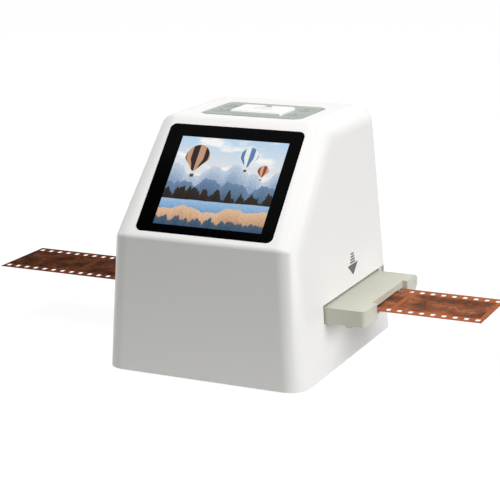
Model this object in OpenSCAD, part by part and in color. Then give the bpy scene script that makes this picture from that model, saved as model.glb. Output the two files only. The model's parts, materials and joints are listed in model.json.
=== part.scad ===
// Desktop film negative scanner: a moulded housing with a sloping screen, a key plate on top
// and a clamshell film tray that slides through a slot in both side walls.
// The origin is on the table under the middle of the body.
// X runs along the film, +Y is the back and +Z is up.  Sizes are in millimetres.

/* [Housing] */
// Width of the body at the table
body_w = 90; // [86:1:100]
// Depth of the body at the table
body_d = 105; // [102:1:114]
// Height of the body
body_h = 102; // [100:1:110]
// Height of the edge where the front wall turns into the screen slope
break_h = 58; // [55:0.5:60]
// Depth of the flat top
top_d = 55.4; // [52:0.2:58]
// Wall thickness of the housing
wall = 2.4; // [2.2:0.1:2.8]
// Radius of the edges round the side walls, and along the back of the top
edge_r = 8.5; // [7:0.5:9.5]
// Radius of the edge between the front wall and the screen slope
break_r = 3; // [2:0.5:6]
// Radius of the edge between the screen slope and the top
top_r = 5; // [3:0.5:7]
// Lean of the side walls, in degrees
side_draft = 3.5; // [2:0.5:4]
// Lean of the lower front wall, in degrees
front_draft = 1.9; // [1:0.1:3]
// Lean of the back wall, in degrees
back_draft = 4.2; // [3:0.1:5]

/* [Base] */
// Thickness of the base plate
base_t = 2.6; // [2.2:0.1:3]
// How far the rubber feet stand proud of the base plate
foot_proud = 0.6; // [0.5:0.1:1]
// Radius of a rubber foot
foot_r = 5; // [4:0.5:6]
// Depth of the pocket that holds a foot
foot_pocket = 1; // [0.8:0.1:1.4]
// Radius of the screw bosses in the housing
boss_r = 3.5; // [3:0.1:4]
// Height of the tops of the base screw bosses
boss_top = 17; // [14:0.5:18]

/* [Screen] */
// Width of the black window
window_w = 61; // [58:0.5:63]
// Height of the black window along the slope
window_h = 51.5; // [48:0.5:52]
// Thickness of the window
window_t = 1.5; // [1.3:0.1:1.7]
// Corner radius of the window
window_r = 2.5; // [1.5:0.5:4]
// How far the window stands proud of the slope
window_proud = 0.2; // [0:0.1:0.4]
// Width of the ledge that carries the window
window_ledge = 3; // [2.5:0.1:4]
// Thickness of the display panel
lcd_t = 2.6; // [2:0.1:3]
// Thickness of the display bracket
bracket_t = 1.4; // [1.2:0.1:2]

/* [Keys] */
// Width of the key plate
key_plate_w = 46; // [44:0.5:50]
// Depth of the key plate
key_plate_d = 31; // [29:0.5:33]
// Corner radius of the key plate
key_plate_r = 4; // [3:0.5:6]
// Thickness of the key plate
key_plate_t = 1.8; // [1.6:0.1:2]
// How far the key plate stands proud of the top
key_plate_proud = 0.2; // [0.1:0.1:0.6]
// Distance from the top of the slope to the key plate
key_plate_gap = 3.5; // [3:0.1:5]
// Distance from the middle of the body to the middle of the key plate, to the right
key_plate_x = 1.6; // [0:0.1:2]
// Width of the scan key
scan_key_w = 23.6; // [20:0.2:24]
// Depth of the scan key
scan_key_d = 15.6; // [13:0.2:16]
// How far the scan key stands above the key plate
scan_key_h = 1.3; // [1:0.1:2]
// Distance from the middle of the key plate to the middle of the scan key, to the right
scan_key_x = 0.8; // [0:0.1:1]
// Distance from the front edge of the key plate to the scan key
scan_key_in = 4.9; // [4.6:0.1:6]
// Width of a small key
small_key_w = 5.6; // [5:0.1:5.8]
// Depth of a small key
small_key_d = 7; // [5:0.1:7.6]
// How far a small key stands above the key plate
small_key_h = 0.25; // [0.15:0.05:0.6]
// Distance of the small keys from the middle of the key plate, sideways
small_key_x = 17.2; // [17:0.1:17.3]
// Distance of the small keys from the middle of the key plate, front to back
small_key_y = 5.8; // [5.2:0.1:6.6]
// Travel of a key
key_travel = 0.5; // [0.3:0.1:0.7]

/* [Film] */
// Width of the film
film_w = 35; // [34.9:0.05:35.05]
// Thickness of the film
film_t = 0.15; // [0.12:0.01:0.18]
// Pitch of the perforations
perf_pitch = 4.75; // [4.74:0.01:4.76]
// Number of perforations along the strip
perf_count = 48; // [40:8:48]
// Width of a perforation across the film
perf_w = 2.8; // [2.7:0.05:2.85]
// Length of a perforation along the film
perf_l = 2; // [1.85:0.05:2.1]
// Distance of the film edge from the near side of a perforation
perf_edge = 2.01; // [1.9:0.01:2.1]
// Where the middle of the film strip lies from the middle of the body
film_shift = -9; // [-15:0.5:15]
// Distance from the centre line of the film to the back of the body
film_back = 46.2; // [45.5:0.1:47.5]
// Length of the picture aperture
gate_l = 37.6; // [36:0.2:38]
// Width of the picture aperture
gate_w = 25.2; // [24:0.2:25.4]

/* [Tray] */
// Width of the film tray
tray_w = 63.6; // [62:0.2:65]
// Thickness of the closed film tray
tray_t = 6.6; // [6:0.1:7]
// Height of the underside of the tray above the table
tray_z = 22.6; // [22:0.1:24]
// Thickness of the lower half of the tray
tray_floor = 3.4; // [3:0.1:3.6]
// How far the tray sticks out of the right wall
tray_out = 17.5; // [14:0.5:20]
// How far the tray sticks out of the left wall
tray_back_out = 2.6; // [2:0.1:5]
// Depth of the notch between the ears at each end
notch_l = 2.2; // [1.6:0.1:5]
// Width of the notch between the ears
notch_w = 36.6; // [36:0.1:40]
// Depth of the film channel
channel_d = 0.4; // [0.35:0.05:0.6]
// Length of the knuckle at each end of the hinge
end_knuckle = 10.5; // [8:0.5:14]
// Radius of the hinge pin
pin_r = 0.8; // [0.6:0.05:1]
// Gap between the tray and the roof over it
tray_roof_gap = 0.8; // [0.6:0.1:1]

/* [Optics] */
// Height of the underside of the lens plate
lens_plate_z = 60; // [56:0.5:62]
// Outer radius of the lens barrel
barrel_r = 6; // [5:0.1:7]
// Length of the lens barrel
barrel_l = 11.5; // [10:0.5:12]
// Width of the light box
light_w = 58; // [56:0.5:60]
// Depth of the light box
light_d = 46; // [42:0.5:46]
// Wall thickness of the inner mouldings
inner_wall = 1.8; // [1.5:0.1:2]

/* [Fits] */
// Gap between two pieces that move past each other
slide_gap = 0.3; // [0.25:0.05:0.4]
// Gap round a piece that is set into another
seat_gap = 0.2; // [0.15:0.05:0.25]
// Radial gap round a pin or a screw
pin_gap = 0.05; // [0.04:0.01:0.08]

/* [Hidden] */
$fn = 32;

white_abs = "whitesmoke";
tray_abs = [0.80, 0.81, 0.77];
plate_abs = [0.73, 0.75, 0.72];
board_green = [0.1, 0.35, 0.2];
screw_steel = [0.6, 0.6, 0.62];
flex_amber = [0.72, 0.45, 0.12];
cut = 0.5; // how far a cutting tool runs past a face
play = 2 * seat_gap; // how much larger a seat is than the piece set into it

// Outer faces of the housing at height z
function wall_x(z) = body_w / 2 - z * tan(side_draft);
function front_y(z) = -body_d / 2 + z * tan(front_draft);
function back_y(z) = body_d / 2 - z * tan(back_draft);
// Inner faces at height z
function inner_x(z) = wall_x(z) - wall / cos(side_draft);
function inner_front_y(z) = front_y(z) + wall / cos(front_draft);
function inner_back_y(z) = back_y(z) - wall / cos(back_draft);

// The screen slope, from the break to the front edge of the top
slope_top_y = back_y(body_h) - top_d;
slope_rise = body_h - break_h;
slope_run = slope_top_y - front_y(break_h);
slope_angle = atan2(slope_rise, slope_run);
slope_l = norm([slope_rise, slope_run]);
window_mid = slope_l * 0.483;

// The front, slope, top and back in profile: the direction each faces, its distance from the
// origin, and the radius of the edge between it and the next
face_angles = [180 - front_draft, 90 + slope_angle, 90, back_draft];
face_reach = [
    body_d / 2 * cos(front_draft),
    break_h * cos(slope_angle) - front_y(break_h) * sin(slope_angle),
    body_h,
    body_d / 2 * cos(back_draft)
];
profile_radii = [break_r, top_r, edge_r];
sharp_r = 1; // an edge with a smaller radius is left sharp
round_steps = 8; // flats along each rounded edge

// Base
base_z = foot_proud;
base_top = base_z + base_t;
plate_x = inner_x(base_top) - seat_gap;
plate_y0 = inner_front_y(base_top) + seat_gap;
plate_y1 = inner_back_y(base_top) - seat_gap;
boss_x = inner_x(boss_top) - boss_r - 1.2;
boss_y0 = inner_front_y(boss_top) + boss_r + 1.2;
boss_y1 = inner_back_y(boss_top) - boss_r - 1.2;
foot_in = 8; // from a foot's centre to the screw beside it
pilot_r = 1.2;
screw_head_r = 2.6;
screw_head_h = 1.4;
small_pilot_r = 0.85;
small_head_r = 1.8;
small_head_h = 1.1;
// How far each kind of screw bites, and how much deeper its pilot hole is
bracket_bite = 1.8;
key_bite = 4;
board_bite = 3;
sensor_bite = 1.6;
roof_bite = 5;
guide_bite = 8;
pilot_spare = 0.4;

// Tray
film_y = body_d / 2 - film_back;
tray_x0 = -wall_x(tray_z) - tray_back_out;
tray_x1 = wall_x(tray_z) + tray_out;
tray_l = tray_x1 - tray_x0;
tray_y0 = film_y - tray_w / 2;
tray_y1 = film_y + tray_w / 2;
tray_top = tray_z + tray_t;
split_z = tray_z + tray_floor;
cover_gap = 0.05; // between the closed halves
hinge_r = tray_t / 2;
hinge_y = tray_y1 - hinge_r;
hinge_z = tray_z + hinge_r;
knuckles = 7;
mid_knuckle = (tray_l - 2 * end_knuckle) / (knuckles - 2);
knuckle_gap = 0.3;
knuckle_clear = 0.25;
rail_w = 2.3; // front wall of the tray
snap_r = 0.5;
snap_l = 12;
snap_gap = 0.15;
film_z = split_z - channel_d + 0.1;
film_l = perf_pitch * perf_count;
film_side_gap = 0.15;
spring_y = tray_y0 + 4.5;
spring_w = 3.6;
spring_t = 0.4;
spring_l = 26;
bump_r = 2.6;
groove_d = 0.9;
frame_step = 8 * perf_pitch;

// Guide and slot
slot_y0 = tray_y0 - 0.6;
slot_y1 = tray_y1 + 6;
slot_z0 = tray_z - slide_gap - 0.1;
slot_z1 = tray_top + tray_roof_gap - 0.1;
guide_side = 0.4; // side play of the tray
guide_t = 2.4;
guide_z1 = tray_z - slide_gap;
guide_z0 = guide_z1 - guide_t;
guide_x = inner_x(slot_z1) - 0.5;
front_rail_w = 4;
rail_y0 = tray_y0 - guide_side;
rail_y1 = tray_y1 + guide_side;
guide_y0 = rail_y0 - front_rail_w;
guide_y1 = slot_y1 - 0.6;
roof_z = tray_top + tray_roof_gap;
roof_t = 2;
post_x = guide_x - 5.3;
roof_x = post_x - 5;
roof_screw_x = roof_x - 4;
post_r = 3;
guide_post_y = [guide_y0 + 3.4, rail_y1 - 3.4];

// Light box and optics
light_z0 = base_top;
light_h = guide_z0 - light_z0;
diffuser_t = 1.6;
led_board_t = 1.4;
led_pitch = 11;
led_w = 3;
led_t = 0.7;
box_floor = 1.6;
chamber_l0 = gate_l + 12;
chamber_w0 = gate_w + 12;
chamber_top = 28;
lens_plate_t = 2;
holder_w = 22;
holder_h = 12;
lens_base_z = lens_plate_z + lens_plate_t;
sensor_z = lens_base_z + holder_h;
sensor_board_w = 30;
board_t = 1.2;

// Screen stack, measured inwards from the slope's surface
window_back = window_t - window_proud;
lcd_front = window_back + 0.15;
lcd_back = lcd_front + lcd_t;
bracket_front = lcd_back + 0.1;
lcd_w = window_w - 2 * window_ledge - 2 * slide_gap;
lcd_h = window_h - 2 * window_ledge - 2 * slide_gap;
bracket_screw_x = window_w / 2 + 0.4;
bracket_screw_y = 16;
bracket_boss_r = 2.3;

// Keys
key_plate_y = slope_top_y + key_plate_gap + key_plate_d / 2;
scan_key_y = scan_key_in + (scan_key_d - key_plate_d) / 2; // from the middle of the key plate
key_plate_top = body_h + key_plate_proud;
key_plate_z = key_plate_top - key_plate_t;
key_opening_w = key_plate_w - 4;
key_opening_d = key_plate_d - 5;
clip_l = key_plate_z - (body_h - wall) + 0.9; // length of the clips under the key plate
key_lip = 0.6;
key_lip_t = 1;
key_lip_z = key_plate_z - 0.1 - key_lip_t;
key_board_drop = 8.8; // from the top face of the housing to the key board
key_board_z = body_h - key_board_drop - board_t;
switch_w = 6;
switch_h = 3;
plunger_r = 1.7;
plunger_in = 1.2; // how deep a plunger stands in its switch
plunger_h = 1.3;
key_screw_x = key_plate_w / 2 + 4;
key_screw_y = 9;
key_places = [[-1, -1], [-1, 1], [1, -1], [1, 1]];

// Rear boards
main_board_in = 4; // clear of the inner face of the back wall
main_board_w = 62;
main_board_z0 = 38;
main_board_h = 44;
main_screw_in = 4;
grid = 2; // pitch on which the chips are laid out
port_board_z = base_top + 4.2;
port_board_t = 1.6;
port_board_w = 58;
port_board_d = 17;
port_y1 = inner_back_y(port_board_z) - 0.8;
port_y0 = port_y1 - port_board_d;
port_top = port_board_z + port_board_t;
usb_x = -18;
usb_w = 7.6;
usb_h = 2.9;
usb_l = 7;
card_x = 10;
card_w = 28;
card_h = 3.2;
card_l = 15;
card_mouth_w = 24.6;
card_mouth_h = 2.2;
port_gap = 0.5;
flex_t = 0.3;
flex_w = 8;
flex_reach = 8; // how far a flat cable runs straight out of its connector
conn_w = 10;
conn_t = 1.6;
conn_h = 3;

module rounded_rect(w, d, r) {
    square([w - 2 * r, d], center = true);
    square([w, d - 2 * r], center = true);
    for (sx = [-1, 1])
        for (sy = [-1, 1])
            translate([sx * (w / 2 - r), sy * (d / 2 - r)]) circle(r);
}

module rounded_plate(w, d, h, r) {
    linear_extrude(h) rounded_rect(w, d, r);
}

module block(w, d, h) {
    translate([-w / 2, -d / 2, 0]) cube([w, d, h]);
}

// Frame of the screen slope: y runs up the slope, z points out of it
module on_slope() {
    translate([0, front_y(break_h), break_h]) rotate([slope_angle, 0, 0]) children();
}

// Frame of the back wall: y points out of it, z runs up it
module on_back() {
    translate([0, body_d / 2, 0]) rotate([back_draft, 0, 0]) children();
}

module bar_x(r, x0, x1, y, z) {
    translate([x0, y, z]) rotate([0, 90, 0]) cylinder(r = r, h = x1 - x0);
}

// A screw with its head's flat underside at z = 0 and its shank running up
module screw(shank_r, shank_l, head_r, head_h) {
    cylinder(r = shank_r, h = shank_l);
    translate([0, 0, -head_h]) difference() {
        cylinder(r = head_r, h = head_h);
        translate([0, 0, -cut]) {
            block(head_r * 1.3, 0.5, cut + head_h * 0.45);
            block(0.5, head_r * 1.3, cut + head_h * 0.45);
        }
    }
}

// Where faces i and i + 1 meet in profile, as [y, z], when both are moved in by a distance
function profile_corner(i, in) =
    let (
        a = face_angles[i],
        b = face_angles[i + 1],
        p = face_reach[i] - in,
        q = face_reach[i + 1] - in
    )
    [p * sin(b) - q * sin(a), q * cos(a) - p * cos(b)] / sin(b - a);

// The profile of the body with its faces moved in, from the foot of the front to that of the back
function profile(in, bottom) =
    concat(
        [[front_y(bottom) + in / cos(front_draft), bottom]],
        [
            for (i = [0:2])
                let (
                    r = profile_radii[i] - in > sharp_r ? profile_radii[i] - in : 0,
                    centre = profile_corner(i, in + r),
                    from = face_angles[i],
                    step = (face_angles[i + 1] - from) / round_steps
                )
                    for (k = [0:(r > 0 ? round_steps : 0)])
                        centre + r * [cos(from + k * step), sin(from + k * step)]
        ],
        [[back_y(bottom) - in / cos(back_draft), bottom]]
    );

// The outer form of the body, or of its inside when shrunk by the wall: a skin over outlines
// that draw in towards the side walls along a quarter of a circle
module body_form(shrink, bottom) {
    r = edge_r - shrink;
    hull()
        for (side = [-1, 1])
            for (k = [0:round_steps]) {
                turn = 90 * k / round_steps;
                outline = profile(shrink + r * (1 - cos(turn)), bottom);
                depth = (shrink + r * (1 - sin(turn))) / cos(side_draft);
                n = len(outline);
                polyhedron(
                    concat(
                        [for (p = outline) [side * (wall_x(p[1]) - depth), p[0], p[1]]],
                        [[0, 0, body_h / 2]]
                    ),
                    concat(
                        [[for (i = [1:n]) side < 0 ? i - 1 : n - i]],
                        [for (i = [1:n]) side < 0 ? [i % n, i - 1, n] : [i - 1, i % n, n]]
                    )
                );
            }
}

module base_screw_places() {
    for (sx = [-1, 1])
        for (y = [boss_y0, boss_y1])
            translate([sx * boss_x, y, 0]) children();
}

module foot_places() {
    for (sx = [-1, 1]) {
        translate([sx * (boss_x - foot_in), boss_y0 + foot_in / 4, 0]) children();
        translate([sx * (boss_x - foot_in), boss_y1 - foot_in / 4, 0]) children();
    }
}

module bracket_screw_places() {
    for (sx = [-1, 1])
        for (sy = [-1, 1])
            translate([sx * bracket_screw_x, window_mid + sy * bracket_screw_y, 0]) children();
}

module key_board_screw_places() {
    for (sx = [-1, 1])
        for (sy = [-1, 1])
            translate([key_plate_x + sx * key_screw_x, key_plate_y + sy * key_screw_y, 0]) children();
}

module main_board_screw_places() {
    for (sx = [-1, 1])
        for (z = [main_board_z0 + main_screw_in, main_board_z0 + main_board_h - main_screw_in])
            translate([sx * (main_board_w / 2 - main_screw_in), 0, z]) children();
}

module chamber_screw_places() {
    for (sx = [-1, 1])
        for (y = [rail_y0 - front_rail_w / 2, (rail_y1 + guide_y1) / 2])
            translate([sx * roof_screw_x, y, 0]) children();
}

module guide_screw_places() {
    for (sx = [-1, 1])
        for (y = guide_post_y)
            translate([sx * post_x, y, 0]) children();
}

module port_screw_places() {
    for (sx = [-1, 1])
        translate([sx * (port_board_w / 2 - 3), port_y0 + 3, 0]) children();
}

// Corner bosses with two ribs each that run into the walls
module housing_bosses() {
    base_screw_places() translate([0, 0, base_top]) cylinder(r = boss_r, h = boss_top - base_top);
    for (sx = [-1, 1])
        for (sy = [-1, 1]) {
            y = sy < 0 ? boss_y0 : boss_y1;
            translate([sx > 0 ? boss_x : -body_w / 2, y - 0.8, base_top])
                cube([body_w / 2 - boss_x, 1.6, boss_top - base_top - 2]);
            translate([sx * boss_x - 0.8, sy > 0 ? y : -body_d / 2, base_top])
                cube([1.6, sy > 0 ? body_d / 2 - y : y + body_d / 2, boss_top - base_top - 2]);
        }
    on_slope() bracket_screw_places()
        translate([0, 0, -bracket_front])
            cylinder(r = bracket_boss_r, h = bracket_front - window_back - 0.3);
    key_board_screw_places()
        translate([0, 0, key_board_z + board_t]) cylinder(r = 2.4, h = key_board_drop - wall / 2);
    on_back() main_board_screw_places()
        translate([0, -wall / 2, 0]) rotate([90, 0, 0]) cylinder(r = 2.6, h = wall / 2 + main_board_in);
}

module main_housing() {
    color(white_abs) difference() {
        union() {
            difference() {
                body_form(0, base_z);
                body_form(wall, base_z - cut);
            }
            intersection() {
                body_form(wall / 2, base_z);
                housing_bosses();
            }
        }
        // slot for the film tray, through both side walls
        translate([-body_w, slot_y0, slot_z0]) cube([2 * body_w, slot_y1 - slot_y0, slot_z1 - slot_z0]);
        // seat of the window, and the opening behind it
        on_slope() translate([0, window_mid, 0]) {
            translate([0, 0, -window_back])
                rounded_plate(window_w + play, window_h + play, 2 * window_t, window_r + seat_gap);
            translate([0, 0, -wall - cut])
                rounded_plate(window_w - 2 * window_ledge, window_h - 2 * window_ledge, wall + cut, 0.5);
        }
        // seat of the key plate, and the opening for the keys
        translate([key_plate_x, key_plate_y, 0]) {
            translate([0, 0, key_plate_z])
                rounded_plate(
                    key_plate_w + play, key_plate_d + play, 2 * key_plate_t, key_plate_r + seat_gap);
            translate([0, 0, body_h - wall - cut])
                rounded_plate(key_opening_w, key_opening_d, wall + cut, 2);
        }
        // mouths of the two sockets in the back wall
        for (mouth = [[usb_x, usb_w, usb_h], [card_x, card_w, card_h]])
            translate([mouth[0], inner_back_y(port_top) + wall, port_top - port_gap])
                block(mouth[1] + 2 * port_gap, 2 * wall + 2 * cut, mouth[2] + 2 * port_gap);
        // pilot holes of the bosses
        base_screw_places() translate([0, 0, base_top - cut])
            cylinder(r = pilot_r, h = boss_top - base_top - 2);
        on_slope() bracket_screw_places()
            translate([0, 0, -bracket_front - cut])
                cylinder(r = small_pilot_r, h = bracket_bite + pilot_spare + cut);
        key_board_screw_places()
            translate([0, 0, key_board_z + board_t - cut])
                cylinder(r = small_pilot_r, h = key_bite + pilot_spare + cut);
        on_back() main_board_screw_places()
            translate([0, -wall - main_board_in - cut, 0]) rotate([-90, 0, 0])
                cylinder(r = small_pilot_r, h = board_bite + pilot_spare + cut);
    }
}

module base_plate() {
    mid_y = (plate_y0 + plate_y1) / 2;
    color(white_abs) difference() {
        union() {
            translate([0, mid_y, base_z])
                rounded_plate(2 * plate_x, plate_y1 - plate_y0, base_t, edge_r - wall - seat_gap);
            // posts of the tray guide
            guide_screw_places() translate([0, 0, base_z]) cylinder(r = post_r, h = guide_z0 - base_z);
            // fence that locates the light box
            for (sx = [-1, 1])
                translate([sx * (light_w / 2 + seat_gap + 0.75), film_y, base_z])
                    block(1.5, light_d / 2, base_t + 3);
            // standoffs of the port board
            port_screw_places() translate([0, 0, base_z]) cylinder(r = 2.4, h = port_board_z - base_z);
        }
        foot_places() translate([0, 0, base_z - cut]) cylinder(r = foot_r + 0.1, h = foot_pocket + cut);
        base_screw_places() translate([0, 0, base_z - cut]) {
            cylinder(r = screw_head_r + seat_gap, h = screw_head_h + 0.2 + cut);
            cylinder(r = pilot_r + 0.2, h = base_t + 2 * cut);
        }
        guide_screw_places() translate([0, 0, guide_z0 - guide_bite])
            cylinder(r = small_pilot_r, h = guide_bite + cut);
        port_screw_places() translate([0, 0, port_board_z - board_bite - pilot_spare])
            cylinder(r = small_pilot_r, h = board_bite + pilot_spare + cut);
    }
}

module rubber_feet() {
    color([0.16, 0.16, 0.17]) foot_places() rotate_extrude()
        polygon([
            [0, 0],
            [foot_r - 0.6, 0],
            [foot_r, 0.4],
            [foot_r, foot_proud + foot_pocket],
            [0, foot_proud + foot_pocket]
        ]);
}

module base_screws() {
    color(screw_steel) base_screw_places()
        translate([0, 0, base_z + screw_head_h + 0.2])
            screw(pilot_r - pin_gap, boss_top - base_top - 4, screw_head_r, screw_head_h);
}

module display_window() {
    chamfer = 0.25;
    color([0.02, 0.02, 0.03]) on_slope() translate([0, window_mid, -window_back]) {
        rounded_plate(window_w, window_h, window_t - chamfer, window_r);
        rounded_plate(window_w - 2 * chamfer, window_h - 2 * chamfer, window_t, window_r - chamfer);
    }
}

module lcd_panel() {
    color([0.55, 0.6, 0.65]) on_slope() translate([0, window_mid, -lcd_back]) {
        block(lcd_w, lcd_h, lcd_t - 0.8);
        translate([0, 0, lcd_t - 0.8]) block(lcd_w - 1, lcd_h - 1, 0.8);
    }
}

module display_bracket() {
    frame_w = 5;
    color([0.2, 0.2, 0.21]) on_slope() translate([0, window_mid, -bracket_front - bracket_t]) difference() {
        union() {
            rounded_plate(lcd_w + 2, lcd_h + 2, bracket_t, 1.5);
            for (sy = [-1, 1])
                translate([0, sy * bracket_screw_y, 0])
                    rounded_plate(2 * bracket_screw_x + 5, 5, bracket_t, 2.4);
        }
        translate([0, 0, -cut])
            rounded_plate(lcd_w - 2 * frame_w, lcd_h - 2 * frame_w, bracket_t + 2 * cut, 2);
        for (sx = [-1, 1])
            for (sy = [-1, 1])
                translate([sx * bracket_screw_x, sy * bracket_screw_y, -cut])
                    cylinder(r = small_pilot_r + 0.2, h = bracket_t + 2 * cut);
    }
}

module display_screws() {
    color(screw_steel) on_slope() bracket_screw_places()
        translate([0, 0, -bracket_front - bracket_t])
            screw(small_pilot_r - pin_gap, bracket_t + bracket_bite, small_head_r, small_head_h);
}

module key_plate() {
    bevel = 0.3;
    color(plate_abs) difference() {
        translate([key_plate_x, key_plate_y, key_plate_z]) {
            rounded_plate(key_plate_w, key_plate_d, key_plate_t - bevel, key_plate_r);
            rounded_plate(key_plate_w - 2 * bevel, key_plate_d - 2 * bevel, key_plate_t, key_plate_r - bevel);
            // clips that hook under the top of the housing
            for (sy = [-1, 1]) {
                translate([0, sy * (key_opening_d / 2 - seat_gap - 0.5), -clip_l]) block(10, 1, clip_l);
                translate([0, sy * (key_opening_d / 2 - seat_gap - 0.2), -clip_l]) block(10, 1.6, 0.8);
            }
        }
        translate([key_plate_x, key_plate_y, key_plate_z - cut]) {
            translate([scan_key_x, scan_key_y, 0])
                rounded_plate(scan_key_w + play, scan_key_d + play, key_plate_t + 2 * cut, 1.2);
            for (p = key_places)
                translate([p[0] * small_key_x, p[1] * small_key_y, 0])
                    rounded_plate(small_key_w + play, small_key_d + play, key_plate_t + 2 * cut, 1.7);
        }
    }
}

// A key cap with a lip that holds it under the key plate, and a stem that meets its plunger
module key_cap(w, d, r, rise) {
    chamfer = min(0.4, rise);
    top = key_plate_top + rise;
    stem_z = key_board_z + board_t + switch_h + plunger_h;
    translate([0, 0, key_lip_z]) {
        rounded_plate(w, d, top - key_lip_z - chamfer, r);
        rounded_plate(w - 2 * chamfer, d - 2 * chamfer, top - key_lip_z, max(0.3, r - chamfer));
        rounded_plate(w + 2 * key_lip, d + 2 * key_lip, key_lip_t, r + key_lip);
    }
    translate([0, 0, stem_z]) cylinder(r = 1.4, h = key_lip_z - stem_z);
}

// The plunger of one key's switch, with a collar that stays inside the switch
module key_plunger() {
    seat = key_board_z + board_t + switch_h;
    translate([0, 0, seat - plunger_in]) cylinder(r = plunger_r, h = plunger_in + plunger_h);
}

module at_key(p) {
    translate([key_plate_x + p[0] * small_key_x, key_plate_y + p[1] * small_key_y, 0]) children();
}

module at_scan_key() {
    translate([key_plate_x + scan_key_x, key_plate_y + scan_key_y, 0]) children();
}

module scan_key() {
    color("white") at_scan_key() key_cap(scan_key_w, scan_key_d, 1, scan_key_h);
}

module small_key(p) {
    color(plate_abs) at_key(p) key_cap(small_key_w, small_key_d, 1.5, small_key_h);
}

module plunger(p) {
    color([0.15, 0.15, 0.15]) at_key(p) key_plunger();
}

module scan_plunger() {
    color([0.15, 0.15, 0.15]) at_scan_key() key_plunger();
}

module key_board() {
    color(board_green) difference() {
        translate([key_plate_x, key_plate_y, key_board_z])
            rounded_plate(2 * key_screw_x + 6, 2 * key_screw_y + 6, board_t, 2);
        key_board_screw_places() translate([0, 0, key_board_z - cut])
            cylinder(r = small_pilot_r + 0.2, h = board_t + 2 * cut);
    }
}

module key_board_screws() {
    color(screw_steel) key_board_screw_places()
        translate([0, 0, key_board_z])
            screw(small_pilot_r - pin_gap, board_t + key_bite, small_head_r, small_head_h);
}

module switch_body() {
    translate([0, 0, key_board_z + board_t]) difference() {
        block(switch_w, switch_w, switch_h);
        translate([0, 0, switch_h - plunger_in - key_travel - slide_gap])
            cylinder(r = plunger_r + pin_gap, h = plunger_in + key_travel + slide_gap + cut);
    }
}

module switch_bodies() {
    color([0.25, 0.25, 0.26]) {
        at_scan_key() switch_body();
        for (p = key_places) at_key(p) switch_body();
    }
}

module main_board() {
    color(board_green) on_back() difference() {
        translate([-main_board_w / 2, -wall - main_board_in - board_t, main_board_z0])
            cube([main_board_w, board_t, main_board_h]);
        main_board_screw_places() translate([0, -wall - main_board_in + cut, 0])
            rotate([90, 0, 0]) cylinder(r = small_pilot_r + 0.2, h = board_t + 2 * cut);
    }
}

module main_board_screws() {
    color(screw_steel) on_back() main_board_screw_places()
        translate([0, -wall - main_board_in - board_t, 0]) rotate([-90, 0, 0])
            screw(small_pilot_r - pin_gap, board_t + board_bite, small_head_r, small_head_h);
}

// A chip on the inner face of the main board, from its middle, in steps of the board's grid
module chip(x, z, w, h, t) {
    board_mid_z = main_board_z0 + main_board_h / 2;
    translate([0, -wall - main_board_in - board_t, board_mid_z])
        translate([(x - w / 2) * grid, -t * grid, (z - h / 2) * grid]) cube([w * grid, t * grid, h * grid]);
}

module main_chips() {
    color([0.12, 0.12, 0.13]) on_back() {
        chip(-4, -2, 7, 7, 0.7);
        chip(6, -3, 6, 4, 0.55);
        chip(6, 2.5, 4.5, 3, 0.5);
        chip(-10, 4, 3, 2.5, 0.8);
        for (i = [0:3]) chip(4 + 2 * i, -8.5, 1, 1.5, 0.4);
    }
}

// Flat flexible cables, drawn as a curve in the plane of Y and Z and given a width along X
function bezier(a, b, c, d, t) =
    pow(1 - t, 3) * a + 3 * t * pow(1 - t, 2) * b + 3 * t * t * (1 - t) * c + pow(t, 3) * d;
function bezier_way(a, b, c, d, t) =
    3 * pow(1 - t, 2) * (b - a) + 6 * t * (1 - t) * (c - b) + 3 * t * t * (d - c);
function side_step(v) = [-v[1], v[0]] / norm(v);

module flex(x, w, a, b, c, d) {
    steps = 16;
    mid = [for (i = [0:steps]) bezier(a, b, c, d, i / steps)];
    out = [for (i = [0:steps]) side_step(bezier_way(a, b, c, d, i / steps)) * flex_t / 2];
    edge = concat(
        [for (i = [0:steps]) mid[i] + out[i]],
        [for (i = [steps:-1:0]) mid[i] - out[i]]
    );
    translate([x - w / 2, 0, 0]) rotate([90, 0, 90]) linear_extrude(w) polygon(edge);
}

// A place on the inner face of the main board, as [y, z], standing off the face by t
function board_face(z, t) =
    let (n = -wall - main_board_in - board_t - t)
    [
        body_d / 2 + n * cos(back_draft) - z * sin(back_draft),
        n * sin(back_draft) + z * cos(back_draft)
    ];
// A place behind the screen slope, as [y, z]: up the slope by u and in from it by t
function slope_point(u, t) =
    [
        front_y(break_h) + u * cos(slope_angle) + t * sin(slope_angle),
        break_h + u * sin(slope_angle) - t * cos(slope_angle)
    ];

display_flex_x = 16.5;
key_flex_x = -14;
led_flex_x = 0;
port_flex_x = -9;
display_conn_z = main_board_z0 + main_board_h - 10;
key_conn_z = main_board_z0 + main_board_h - 3;
sensor_conn_z = main_board_z0 + main_board_h - 8;
port_conn_z = main_board_z0 + 3;
conn_gap = 0.1;

module board_connector(x, z) {
    on_back() translate([x - conn_w / 2, -wall - main_board_in - board_t - conn_t, z - conn_h / 2])
        cube([conn_w, conn_t, conn_h]);
}

module cable_connectors() {
    key_board_back = key_plate_y + key_screw_y + 3;
    color([0.9, 0.88, 0.8]) {
        board_connector(display_flex_x, display_conn_z);
        board_connector(key_flex_x, key_conn_z);
        board_connector(0, sensor_conn_z);
        board_connector(port_flex_x, port_conn_z);
        translate([key_flex_x, key_board_back - conn_h / 2, key_board_z - conn_t])
            block(conn_w, conn_h, conn_t);
        translate([0, film_y + sensor_board_w / 2 - conn_h / 2, sensor_z + board_t])
            block(conn_w, conn_h, conn_t);
        translate([port_flex_x, port_y1 - 2.4, port_top]) block(7, 2.4, conn_t);
    }
}

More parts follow.
